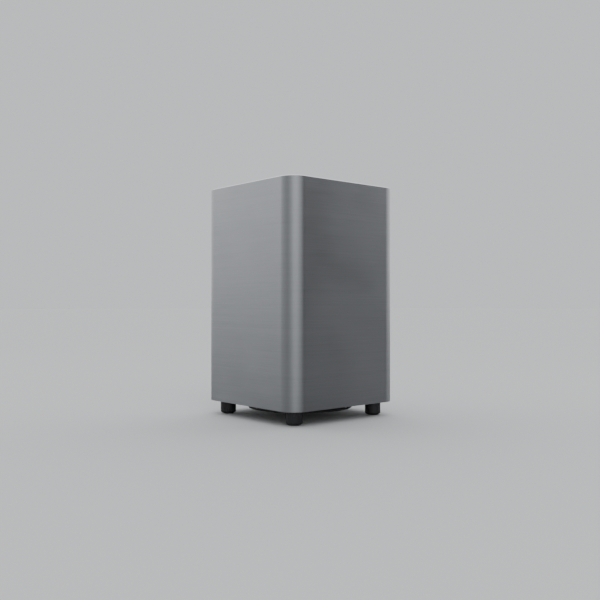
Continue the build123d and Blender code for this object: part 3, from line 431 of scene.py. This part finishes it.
def painted_underside():
    """The bottom board: fibreboard with black paint on the face towards the floor."""
    paint = Paint(fibreboard("painted_underside"))
    down = (0, 0, -1)
    wood = paint.shader.inputs["Base Color"].links[0].from_socket
    painted = paint.remap(paint.facing(down), 0.2, 0.5)
    black = paint.blend(paint.noise(30 * MM), (0.014, 0.014, 0.015), (0.028, 0.028, 0.03))
    paint.colour(painted, wood, black)
    return paint.link(paint.remap(painted, 0.0, 1.0, 0.82, 0.55), "Roughness").owner


def coated_pulp():
    """The cone's paper: pressed fibres under a thin black coat."""
    paint = new_paint("coated_pulp")
    fibres = paint.noise(0.8 * MM, (3, 1, 2), detail=5, roughness=0.7)
    lumps = paint.noise(4 * MM)
    paint.colour(paint.remap(fibres, 0.4, 0.7), (0.012, 0.012, 0.013), (0.045, 0.044, 0.043))
    paint.rough(lumps, 0.55, 0.75)
    paint.relief(fibres, 0.12 * MM, 0.8, over=paint.bump(lumps, 0.25 * MM, 0.5))
    return paint.set(Specular_IOR_Level=0.35).owner


def woven_cloth():
    """The spider's cloth: a plain weave with threads 1.7 mm apart, stiffened with resin, with painted shade
    in the gaps between the threads.
    """
    paint = new_paint("woven_cloth")
    threads = [paint.waves(180, axis, distortion=0.4, detail=1.0) for axis in ("X", "Y")]
    weave = paint.math("MAXIMUM", *threads)
    resin = paint.noise(7 * MM)
    amber = paint.blend(resin, (0.42, 0.24, 0.07), (0.60, 0.40, 0.16))
    # painted shade: the dark brown lies in the gaps between the threads, where the weave is lowest
    paint.colour(weave, (0.20, 0.11, 0.03), amber)
    paint.rough(resin, 0.55, 0.8)
    return paint.relief(weave, 0.15 * MM, 0.8).owner


def wadding():
    """Loose polyester wadding: fine white fibres that go off in every direction."""
    paint = new_paint("wadding")
    drawn_out = 9
    ways = ((drawn_out, 1, 2), (1, drawn_out, 1.5), (2, 1, drawn_out))
    strands = [paint.noise(0.45 * MM, way, detail=4, roughness=0.6) for way in ways]
    fibres = paint.math("MAXIMUM", paint.math("MAXIMUM", strands[0], strands[1]), strands[2])
    white = paint.blend(paint.noise(16 * MM), (0.68, 0.67, 0.64), (0.84, 0.83, 0.80))
    paint.colour(paint.remap(fibres, 0.50, 0.72), shade(0.78, (0.8, 0.79, 0.76)), white)
    paint.relief(fibres, 0.35 * MM, 0.8)
    paint.set(Subsurface_Weight=0.25, Subsurface_Scale=4 * MM)
    return paint.set(Roughness=0.95, Sheen_Weight=0.4, Specular_IOR_Level=0.1).owner


def ferrite(name):
    """Sintered ferrite: matte charcoal with a fine grain and small chips."""
    paint = new_paint(name)
    grain = paint.noise(0.5 * MM, detail=4)
    chips = paint.spots(paint.cells(5 * MM), 0.05, 0.12)
    grey = paint.blend(grain, (0.035, 0.035, 0.037), (0.075, 0.075, 0.08))
    paint.colour(paint.math("MULTIPLY", chips, 0.6), grey, (0.13, 0.13, 0.135))
    paint.rough(grain, 0.5, 0.7)
    return paint.relief(grain, 0.06 * MM, 0.7).owner


# ---------------------------------------------------------------- Materials: electronics
def circuit_board():
    """Solder resist over copper tracks, with plated pads."""
    paint = new_paint("circuit_board")
    tracks = paint.spots(paint.cells(5 * MM, "DISTANCE_TO_EDGE", 0.7), 0.06, 0.09)
    pads = paint.spots(paint.cells(3.2 * MM, randomness=0.35), 0.16, 0.20)
    cloud = paint.noise(20 * MM)
    resist = paint.blend(cloud, (0.008, 0.075, 0.030), (0.012, 0.11, 0.045))
    tracked = paint.blend(tracks, resist, (0.03, 0.19, 0.08))
    paint.colour(pads, tracked, (0.55, 0.55, 0.52))
    paint.link(pads, "Metallic")
    paint.rough(cloud, 0.22, 0.32)
    return paint.relief(paint.math("MAXIMUM", tracks, pads), 0.04 * MM, 0.8).owner


def capacitor_sleeve():
    """Dark shrink sleeve on the sides of a can, and bare aluminium on the end that faces into the cabinet."""
    paint = new_paint("capacitor_sleeve")
    forward = (0, -1, 0)
    bare = paint.remap(paint.facing(forward), 0.93, 0.97)
    cloud = paint.noise(6 * MM)
    sleeved = paint.blend(cloud, (0.010, 0.014, 0.035), (0.016, 0.024, 0.06))
    paint.colour(bare, sleeved, (0.72, 0.73, 0.74))
    paint.link(bare, "Metallic")
    return paint.rough(cloud, 0.2, 0.34).owner


def taped_winding():
    """Yellow polyester tape over a winding, with the laps of the tape showing."""
    paint = new_paint("taped_winding")
    laps = paint.remap(paint.noise(1.2 * MM, (20, 20, 1)), 0.45, 0.55)
    tape = paint.blend(paint.noise(6 * MM), (0.52, 0.38, 0.02), (0.66, 0.50, 0.05))
    paint.colour(laps, shade(0.8, (0.6, 0.45, 0.03)), tape)
    paint.relief(laps, 0.05 * MM, 0.7)
    return paint.set(Roughness=0.35).owner


# ---------------------------------------------------------------- Mesh helpers
def new_piece(name, data, body, node):
    """A mesh that stands for a CAD node, in its slot's material. It rides on a body, if one is given."""
    piece = new_object(name, data)
    data.materials.append(SURFACES[SLOTS[node]])
    if body is not None:
        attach(piece, body)
    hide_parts(node)
    return piece


def smooth(data, angle):
    """Smooth shading, with edges sharper than this angle in degrees left sharp."""
    data.shade_smooth()
    data.set_sharp_from_angle(angle=math.radians(angle))


def fix_normals(data):
    """Turns every face of a closed mesh outward."""
    mesh = bmesh.new()
    mesh.from_mesh(data)
    bmesh.ops.recalc_face_normals(mesh, faces=mesh.faces)
    mesh.to_mesh(data)
    mesh.free()


def closed_band(name, rings):
    """A closed skin through rings of the same number of points, with the last joined to the first."""
    count = len(rings[0])
    verts = [point for one_ring in rings for point in one_ring]
    faces = []
    for i in range(len(rings)):
        here, there = i * count, (i + 1) % len(rings) * count
        for j in range(count):
            k = (j + 1) % count
            faces.append((here + j, here + k, there + k, there + j))
    data = bpy.data.meshes.new(name)
    data.from_pydata(verts, [], faces)
    fix_normals(data)
    return data


def full_turn(steps):
    """Evenly spaced angles round a full turn."""
    return [2 * math.pi * i / steps for i in range(steps)]


def turned(name, outline, segments):
    """A closed outline of (radius, level) points, turned about the Z axis."""
    sharp_from = 50
    turns = full_turn(segments)
    rings = [[(r * math.cos(turn), r * math.sin(turn), z) for turn in turns] for r, z in outline]
    data = closed_band(name, rings)
    smooth(data, sharp_from)
    return data


def sheet_outline(middle_line, thickness):
    """The outline of a sheet of this thickness whose middle follows a line of (radius, level) points."""
    points = [Vector(point) for point in middle_line]
    steps = [(b - a).normalized() for a, b in zip(points, points[1:])]
    sharpest_mitre = 0.5
    one_side, other_side = [], []
    for i, point in enumerate(points):
        before = steps[max(i - 1, 0)]
        after = steps[min(i, len(steps) - 1)]
        along = (before + after).normalized()
        mitre = Vector((-along.y, along.x)) * (thickness / 2 / max(along.dot(after), sharpest_mitre))
        one_side.append(tuple(point + mitre))
        other_side.append(tuple(point - mitre))
    return one_side + other_side[::-1]


def finer(line, step):
    """The same line of points, with more on its straight stretches, about a step apart."""
    points = [line[0]]
    for (r0, z0), (r1, z1) in zip(line, line[1:]):
        parts = max(1, round(math.hypot(r1 - r0, z1 - z0) / step))
        points += [(r0 + (r1 - r0) * i / parts, z0 + (z1 - z0) * i / parts) for i in range(1, parts + 1)]
    return points


def arc(centre_r, centre_z, radius, start, end, steps):
    """Points of an arc in a (radius, level) section, from one angle to another in degrees."""
    turns = [math.radians(start + (end - start) * i / steps) for i in range(steps + 1)]
    return [(centre_r + radius * math.cos(turn), centre_z + radius * math.sin(turn)) for turn in turns]


def rounded_outline(width, depth, radius, steps):
    """Points of a rounded rectangle, anticlockwise, with steps on each corner."""
    points = []
    for corner, (side_x, side_y) in enumerate(((1, 1), (-1, 1), (-1, -1), (1, -1))):
        centre_x = side_x * (width / 2 - radius)
        centre_y = side_y * (depth / 2 - radius)
        for i in range(steps + 1):
            turn = math.pi / 2 * (corner + i / steps)
            points.append((centre_x + radius * math.cos(turn), centre_y + radius * math.sin(turn)))
    return points


def circle_outline(radius, steps):
    """Points of a circle, anticlockwise."""
    return [(radius * math.cos(turn), radius * math.sin(turn)) for turn in full_turn(steps)]


def rearward_cutter(outline, level, low, high):
    """A prism along Y, to cut with. Its outline lies in X and Z, round this level."""
    mesh = bmesh.new()
    ends = [[mesh.verts.new((u, y, level + v)) for u, v in outline] for y in (low, high)]
    for end in ends:
        mesh.faces.new(end)
    for j in range(len(outline)):
        k = (j + 1) % len(outline)
        mesh.faces.new((ends[0][j], ends[0][k], ends[1][k], ends[1][j]))
    bmesh.ops.recalc_face_normals(mesh, faces=mesh.faces)
    data = bpy.data.meshes.new("cutter")
    mesh.to_mesh(data)
    mesh.free()
    return new_object("cutter", data)


def cut(piece, cutter):
    """Takes a cutter's space out of a piece, for good."""
    modifier = piece.modifiers.new("cut", "BOOLEAN")
    modifier.operation = "DIFFERENCE"
    modifier.solver = "EXACT"
    modifier.object = cutter
    bpy.context.view_layer.update()
    made = bpy.data.meshes.new_from_object(piece.evaluated_get(bpy.context.evaluated_depsgraph_get()))
    piece.modifiers.clear()
    piece.data = made
    bpy.data.objects.remove(cutter)


def blend_by_radius(piece):
    """Moves each point of a ring out to its distance from the Z axis, bakes the piece's transform, and puts
    every point back where it was.
    """
    places = [vertex.co.copy() for vertex in piece.data.vertices]
    for vertex in piece.data.vertices:
        vertex.co = (vertex.co.xy.length, 0, 0)
    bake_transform(piece)
    for vertex, place in zip(piece.data.vertices, places):
        vertex.co = place
    piece.data.update()


# ---------------------------------------------------------------- Brushed sleeve
TOP_CHAMFER = 1.4 * MM


def sleeve_shell():
    """The sleeve's mesh before its openings are cut, with a small round below and a chamfer on top."""
    bottom_round, edge_round = 0.4 * MM, 0.08 * MM
    halfway = 0.3 * bottom_round
    top, bottom = sleeve_high.z, sleeve_low.z
    section = [
        (bottom_round, bottom),
        (halfway, bottom + halfway),
        (0.0, bottom + bottom_round),
        (0.0, top - TOP_CHAMFER - edge_round),
        (edge_round, top - TOP_CHAMFER + edge_round),
        (TOP_CHAMFER - edge_round, top - edge_round),
        (TOP_CHAMFER + edge_round, top),
        (sleeve_wall, top),
        (sleeve_wall, bottom),
    ]
    rings = []
    for inset, level in section:
        width, depth = cabinet_width - 2 * inset, cabinet_depth - 2 * inset
        outline = rounded_outline(width, depth, corner_radius - inset, steps=32)
        rings.append([(x, y, level) for x, y in outline])
    return closed_band("sleeve", rings)


def brighten_top_edge(data):
    """Gives the faces of the top chamfer the cut edge's material."""
    facing_up = 0.3
    data.materials.append(cut_edge())
    for face in data.polygons:
        if face.center.z > sleeve_high.z - TOP_CHAMFER and face.normal.z > facing_up:
            face.material_index = 1


def sleeve():
    """The metal skin, with a diamond-cut top edge, a seam, and openings for the port and the tray."""
    gap, tray_corner = 0.75 * MM, 8 * MM
    seam_width, seam_corner = 0.3 * MM, 0.1 * MM
    sharp_from = 25
    rear = sleeve_high.y
    through = (rear - 2 * sleeve_wall, rear + sleeve_wall)
    tray, port = size("amp_plate"), size("port_tube")
    window = rounded_outline(tray.x + 2 * gap, tray.z + 2 * gap, tray_corner + gap, steps=10)
    port_hole = circle_outline(port.x / 2 + gap, steps=144)
    seam = rounded_outline(seam_width, 2 * cabinet_height, seam_corner, steps=2)
    piece = new_piece("sleeve", sleeve_shell(), CABINET, "brushed_sleeve")
    brighten_top_edge(piece.data)
    for outline, node in ((window, "amp_plate"), (port_hole, "port_tube"), (seam, "brushed_sleeve")):
        cut(piece, rearward_cutter(outline, middle(node).z, *through))
    smooth(piece.data, sharp_from)
    normals = piece.modifiers.new("even_normals", "WEIGHTED_NORMAL")
    normals.keep_sharp = True


# ---------------------------------------------------------------- Suspension and moving pieces
def surround_ring():
    """The half-roll of rubber, its crest towards the floor, with a flat glued rim on each side."""
    thickness, roll, rim = 0.8 * MM, 5.5 * MM, 4 * MM
    level = corners("surround")[1].z - thickness / 2
    outer = size("surround").x / 2 - thickness / 2 - rim
    inner = outer - 2 * roll
    line = [(inner - rim - thickness / 2, level), (inner - rim / 2, level)]
    line += arc(outer - roll, level, roll, 180, 360, 40)
    line += [(outer + rim / 2, level), (outer + rim + thickness / 2, level)]
    data = turned("surround_ring", sheet_outline(line, thickness), 240)
    piece = new_piece("surround_ring", data, None, "surround")
    blend_by_radius(piece)


def spider_disc():
    """The corrugated disc of woven cloth that centres the voice coil."""
    thickness, rim, rolls, shelf = 0.6 * MM, 1.5 * MM, 9, 7 * MM
    level = middle("spider").z
    inner = former_radius + glue_line
    outer = size("spider").x / 2
    roll_start, roll_end = inner + rim, outer - shelf + 2 * rim
    roll = (roll_end - roll_start) / rolls / 2
    line = [(inner, level), (roll_start - rim / 2, level)]
    for i in range(rolls):
        start, end = (180, 0) if i % 2 else (180, 360)
        bend = arc(roll_start + roll * (2 * i + 1), level, roll, start, end, 10)
        line += bend if i == 0 else bend[1:]
    line += [(roll_end + rim, level), (outer, level)]
    data = turned("spider_disc", sheet_outline(line, thickness), 200)
    piece = new_piece("spider_disc", data, None, "spider")
    blend_by_radius(piece)


def cone_shell():
    """The pulp cone, from its flat glued lip down to the collar round the voice coil's former."""
    thickness, collar, overlap = 0.8 * MM, 2.5 * MM, 4 * MM
    low, high = corners("cone")
    edge_level = low.z + thickness / 2
    neck = former_radius + glue_line + thickness / 2
    line = [(high.x, edge_level), (high.x - overlap, edge_level), (neck, high.z - collar), (neck, high.z)]
    data = turned("cone_shell", sheet_outline(finer(line, 2 * MM), thickness), 240)
    new_piece("cone_shell", data, CONE, "cone")


def dust_cap_dome():
    """The shallow dome over the voice coil, bulging towards the floor."""
    thickness, beside_axis = 0.6 * MM, 270.02
    low, high = corners("dust_cap")
    radius, rise = high.x, high.z - low.z
    sphere = (radius**2 + rise**2) / (2 * rise)
    spread = math.degrees(math.asin(radius / sphere))
    inner_spread = spread * 0.985
    outline = arc(0, low.z + sphere, sphere, beside_axis, 270 + spread, 24)
    outline += arc(0, low.z + sphere, sphere - thickness, 270 + inner_spread, beside_axis, 24)
    data = turned("dust_cap_dome", outline, 180)
    new_piece("dust_cap_dome", data, CONE, "dust_cap")


def mirrored_tubes(name, route, radius):
    """The mesh of a round lead along a route, and of its mirror image across X."""
    curve = bpy.data.curves.new(name, "CURVE")
    curve.dimensions = "3D"
    curve.bevel_depth = radius
    curve.bevel_resolution = 5
    curve.resolution_u = 24
    curve.use_fill_caps = True
    for side in (-1, 1):
        spline = curve.splines.new("NURBS")
        spline.points.add(len(route) - 1)
        for point, (x, y, z) in zip(spline.points, route):
            point.co = (side * x, y, z, 1.0)
        spline.order_u = 3
        spline.use_endpoint_u = True
    line = bpy.data.objects.new("route_line", curve)
    data = bpy.data.meshes.new_from_object(line)
    bpy.data.objects.remove(line)
    data.shade_smooth()
    return data


def tinsel_lead_pair():
    """Two limp leads from the terminals, each curving down to the cone."""
    lead_radius = 0.6 * MM
    low, high = corners("tinsel_leads")
    top, bottom = high.z - lead_radius, low.z + lead_radius
    fall = top - bottom
    back = high.y - lead_radius
    route = [
        (9.6 * MM, back - 4 * MM, top),
        (14 * MM, back - 1 * MM, top - 0.05 * fall),
        (16.5 * MM, back, top - 0.46 * fall),
        (15 * MM, back - 5 * MM, top - 0.87 * fall),
        (11 * MM, back - 13 * MM, top - 0.92 * fall),
        (9 * MM, back - 18.95 * MM, bottom),
    ]
    data = mirrored_tubes("tinsel_lead_pair", route, lead_radius)
    piece = new_piece("tinsel_lead_pair", data, None, "tinsel_leads")
    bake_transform(piece)


# ---------------------------------------------------------------- Wadding
AXIS_X, AXIS_Y = 0, 1
LONGEST_SIDE_PARTS = 96
LEAST_PARTS = 8
EDGE_HEIGHT = 0.62  # these heights are shares of the pad's thickness in CAD
CROWN_HEIGHT = 0.26
FULL_HEIGHT = 0.97
LUMPS = (38, 0.10)  # how many to a metre, and their height
SWELLS = (14, 0.15)
TUFTS = (420, 0.018)
LUMP_LAYERS = (0.9, 2.1, 3)  # how fast the finer layers fade, how much finer each is, and how many
RIM_UNEVENNESS = 0.35  # the share of the unevenness that is left at the outline
SHOULDER = 10  # the higher, the closer to the outline the crown falls off
NOTCHES_PER_METRE = 40
OUTLINE_INSET = 0.035  # these insets are shares of the pad's half width
NOTCH_DEPTH = 0.05


def divided_cube(parts):
    """A cube from -1 to 1, with its edges along each (axis, count) pair's axis cut into that many parts."""
    side, nearly_whole = 2.0, 1.9
    mesh = bmesh.new()
    bmesh.ops.create_cube(mesh, size=side)
    for axis, count in parts:
        lengths = {edge: abs(edge.verts[0].co[axis] - edge.verts[1].co[axis]) for edge in mesh.edges}
        uncut = [edge for edge in mesh.edges if lengths[edge] > nearly_whole]
        bmesh.ops.subdivide_edges(mesh, edges=uncut, cuts=count - 1, use_grid_fill=True)
    return mesh


def unevenness(place):
    """How far the mat's face stands off its even shape at a place."""
    lumps = noise.fractal(place * LUMPS[0], *LUMP_LAYERS) * LUMPS[1]
    swells = noise.noise(place * SWELLS[0]) * SWELLS[1]
    tufts = noise.noise(place * TUFTS[0]) * TUFTS[1]
    return lumps + swells + tufts


def drawn_in(place, reach):
    """The share of its distance from the middle that a point keeps, so that the outline is uneven."""
    notch = 0.5 + 0.5 * noise.noise(place * NOTCHES_PER_METRE)
    return 1 - (OUTLINE_INSET + NOTCH_DEPTH * notch) * reach**2


def wadding_pad(name, node, thin_axis, towards_wall):
    """A mat of loose wadding glued to a wall: flat on the wall, crowned and lumpy towards the room."""
    low, high = corners(node)
    centre, half = (low + high) / 2, (high - low) / 2
    axes = [axis for axis in range(3) if axis != thin_axis]
    thin = half[thin_axis]
    parts = [(axis, max(LEAST_PARTS, round(LONGEST_SIDE_PARTS * half[axis] / max(half)))) for axis in axes]
    mesh = divided_cube(parts + [(thin_axis, LEAST_PARTS)])
    for vertex in mesh.verts:
        share = vertex.co.copy()
        rim = max(abs(share[axis]) for axis in axes)
        height = (1 + share[thin_axis] * -towards_wall) / 2
        crown = (1 - rim**SHOULDER) ** 0.5 if rim < 1 else 0.0
        place = Vector(tuple(share[axis] * half[axis] for axis in range(3)))
        uneven = unevenness(place) * min(1, RIM_UNEVENNESS + crown)
        level = height * (EDGE_HEIGHT + CROWN_HEIGHT * crown + uneven)
        level = min(max(level, 0.0), FULL_HEIGHT)
        kept = drawn_in(place, height * rim)
        for axis in axes:
            vertex.co[axis] = centre[axis] + share[axis] * half[axis] * kept
        vertex.co[thin_axis] = centre[thin_axis] + towards_wall * (thin - 2 * thin * level)
    data = bpy.data.meshes.new(name)
    mesh.to_mesh(data)
    mesh.free()
    data.shade_smooth()
    piece = new_piece(name, data, CABINET, node)


# ---------------------------------------------------------------- The object
SURFACES = {
    "brushed_metal": brushed_metal("brushed_metal", (HAIR_LENGTH, HAIR_LENGTH, 1)),
    "board_wood": fibreboard("fibreboard"),
    "wadding": wadding(),
    "foot_plastic": moulded_plastic("foot_plastic", (0.030, 0.030, 0.032), 0.27, 0.5 * MM, 0.015 * MM),
    "pad_rubber": soft_rubber("pad_rubber", (0.03, 0.03, 0.03), 0.75),
    "black_screw": black_oxide(),
    "zinc_screw": plain_metal("zinc_screw"),
    "basket_steel": powder_coat("basket_steel"),
    "gasket_foam": closed_foam(),
    "pole_steel": plain_metal("pole_steel", (0.56, 0.56, 0.54), 0.36),
    "ferrite": ferrite("ferrite"),
    "surround_rubber": soft_rubber("surround_rubber"),
    "cone_paper": coated_pulp(),
    "spider_cloth": woven_cloth(),
    "former_film": amber_film(),
    "copper": copper_wire(),
    "tag_brass": plain_metal("tag_brass", (0.72, 0.58, 0.32), 0.28),
    "guard_plastic": moulded_plastic("guard_plastic", (0.020, 0.020, 0.021), 0.48),
    "port_plastic": moulded_plastic("port_plastic", (0.022, 0.022, 0.023), 0.38, 0.3 * MM, 0.02 * MM),
    "tray_metal": powder_coat("tray_metal", 0.55 * MM, 0.07 * MM),
    "inlet_plastic": moulded_plastic("inlet_plastic", (0.014, 0.014, 0.014), 0.2, 0.5 * MM, 0.008 * MM),
    "pin_nickel": plain_metal("pin_nickel", (0.76, 0.74, 0.69), 0.16),
    "button_plastic": moulded_plastic("button_plastic", (0.07, 0.07, 0.074), 0.3, 0.3 * MM, 0.015 * MM),
    "switch_body": plain_metal("switch_body", (0.55, 0.55, 0.55), 0.3),
    "switch_plastic": moulded_plastic("switch_plastic", (0.42, 0.28, 0.16), 0.45),
    "lamp_resin": clear_resin("lamp_resin", (0.85, 0.88, 0.90)),
    "lens_clear": clear_resin("lens_clear"),
    "circuit_green": circuit_board(),
    "chip_resin": moulded_plastic("chip_resin", (0.02, 0.02, 0.02), 0.5, 0.2 * MM, 0.02 * MM),
    "plain_aluminium": plain_metal("plain_aluminium", (0.77, 0.78, 0.79), 0.35),
    "winding_tape": taped_winding(),
    "can_sleeve": capacitor_sleeve(),
    "choke_body": ferrite("ferrite_block"),
    "plug_nylon": nylon(),
    "shield_steel": plain_metal("shield_steel", (0.66, 0.67, 0.68), 0.25),
    "wire_red": wire_jacket("wire_red", (0.30, 0.012, 0.010)),
    "wire_dark": wire_jacket("wire_dark", (0.05, 0.05, 0.055)),
}
SPECIAL_SURFACES = {
    "top_plate": top_metal(),
    "bottom_board": painted_underside(),
}


def paint_cad_nodes():
    """Gives every CAD node the material of its slot, or its own where it has one."""
    for node in frame["nodes"]:
        shown = bpy.data.objects[node]
        surface = SPECIAL_SURFACES.get(node) or SURFACES[SLOTS[node]]
        if not shown.material_slots:
            shown.data.materials.append(surface)
        for material_slot in shown.material_slots:
            material_slot.material = surface


paint_cad_nodes()
sleeve()
surround_ring()
spider_disc()
cone_shell()
dust_cap_dome()
tinsel_lead_pair()
wadding_pad("left_wadding", "damping_pad_left", AXIS_X, towards_wall=-1)
wadding_pad("right_wadding", "damping_pad_right", AXIS_X, towards_wall=1)
wadding_pad("front_wadding", "damping_pad_front", AXIS_Y, towards_wall=-1)


# ---------------------------------------------------------------- Stage
FLOOR_COLOUR = (0.80, 0.80, 0.80)
FLOOR_REACH = 30.0
MIRRORED_FLOOR = 0.25  # how bright polished pieces see the floor
BACKDROP = 0.755
SKY_TINT = (0.96, 0.98, 1.0)
RAISED = 0.7  # the height of a direction, from 0 level to 1 straight up, at which the light is strongest
LIGHT_BY_HEIGHT = (1.25, 1.55)
LIGHT_ROUND = [  # degrees round from the front, positive to the right, and the light's strength there
    (-180, 0.84),
    (-150, 0.84),
    (-137, 0.64),
    (-124, 0.46),
    (-80, 0.34),
    (-60, 0.50),
    (-40, 0.84),
    (-20, 0.84),
    (2, 0.54),
    (28, 0.10),
    (42, 0.02),
    (58, 0.50),
    (84, 0.84),
    (150, 0.86),
    (180, 0.84),
]
SOFTBOX_SIZE = (1.3, 1.0)
SOFTBOX_AIM = (0, 0, 0.3)
CAMERA_AZIMUTH = 40.7  # degrees round to the left of the front
CAMERA_DISTANCE = 3.59  # in cabinet heights
CAMERA_LEVEL = 0.4553  # in cabinet heights above the sleeve's lower edge
SENSOR_WIDTH = 36.0
LENS = 45.32
SHIFT_UP = 0.0069


def softbox(name, place, power):
    """A rectangular lamp that isn't seen itself and shines on the object."""
    data = bpy.data.lights.new(name, "AREA")
    data.shape = "RECTANGLE"
    data.size, data.size_y = SOFTBOX_SIZE
    data.energy = power
    lamp = new_object(name, data)
    lamp.location = place
    lamp.rotation_euler = (Vector(SOFTBOX_AIM) - Vector(place)).to_track_quat("-Z", "Y").to_euler()
    lamp.visible_camera = False


def studio_floor():
    """A wide, pale, matte floor. Polished pieces see it dimmer, as if dark cloths lay outside the view."""
    sides = ((-1, -1), (1, -1), (1, 1), (-1, 1))
    outline = [(x * FLOOR_REACH, y * FLOOR_REACH, cad_low.z) for x, y in sides]
    data = bpy.data.meshes.new("studio_floor")
    data.from_pydata(outline, [], [(0, 1, 2, 3)])
    paint = new_paint("studio_floor")
    pale = paint.blend(paint.noise(0.6, detail=2), shade(0.98, FLOOR_COLOUR), FLOOR_COLOUR)
    mirrored = paint.add("ShaderNodeLightPath").outputs["Is Glossy Ray"]
    paint.colour(mirrored, pale, shade(MIRRORED_FLOOR, FLOOR_COLOUR))
    paint.set(Roughness=0.8, Specular_IOR_Level=0.1)
    data.materials.append(paint.owner)
    plane = new_object("studio_floor", data)


def light_by_azimuth(paint, across, rearward):
    """The strength of the light in a direction, from LIGHT_ROUND."""
    azimuth = paint.math("ARCTAN2", across, paint.math("MULTIPLY", rearward, -1.0))
    turn = paint.remap(azimuth, -math.pi, math.pi, 0.0, 1.0, smooth=False)
    ramp = paint.add("ShaderNodeValToRGB", links={"Fac": turn})
    ramp.color_ramp.interpolation = "EASE"
    stops = ramp.color_ramp.elements
    while len(stops) < len(LIGHT_ROUND):
        stops.new(0.5)
    for stop, (degrees, level) in zip(stops, LIGHT_ROUND):
        stop.position = (degrees + 180) / 360
        stop.color = (level, level, level, 1.0)
    return ramp.outputs["Color"]


def studio_world():
    """Soft light from all round, and a plain backdrop for the camera."""
    world = bpy.data.worlds.new("studio")
    bpy.context.scene.world = world
    paint = Paint(world)
    direction = paint.add("ShaderNodeTexCoord").outputs["Generated"]
    parts = paint.add("ShaderNodeSeparateXYZ", links={0: direction}).outputs
    raised = paint.remap(parts["Z"], 0.0, RAISED, *LIGHT_BY_HEIGHT)
    light = paint.math("MULTIPLY", light_by_azimuth(paint, parts["X"], parts["Y"]), raised)
    camera_ray = paint.add("ShaderNodeLightPath").outputs["Is Camera Ray"]
    seen = paint.math("MULTIPLY", camera_ray, BACKDROP)
    unseen = paint.math("MULTIPLY", paint.math("SUBTRACT", 1.0, camera_ray), light)
    background = world.node_tree.nodes["Background"]
    background.inputs["Color"].default_value = (*SKY_TINT, 1.0)
    world.node_tree.links.new(paint.math("ADD", seen, unseen), background.inputs["Strength"])


def studio_camera():
    """A level camera at the photograph's viewing angle, a little below the middle of the cabinet."""
    azimuth = math.radians(CAMERA_AZIMUTH)
    level = sleeve_low.z + CAMERA_LEVEL * cabinet_height
    data = bpy.data.cameras.new("camera")
    camera = new_object("camera", data)
    ahead = Vector((math.sin(azimuth), math.cos(azimuth), 0))
    camera.location = Vector((0, 0, level)) - CAMERA_DISTANCE * cabinet_height * ahead
    camera.rotation_euler = (math.radians(90), 0, -azimuth)
    data.sensor_width = SENSOR_WIDTH
    data.lens = LENS
    data.shift_y = SHIFT_UP
    bpy.context.scene.camera = camera


studio_floor()
studio_world()
studio_camera()
softbox("left_softbox", place=(-1.05, 1.2, 1.25), power=1.3)
softbox("right_softbox", place=(0.95, -1.1, 1.25), power=1.25)
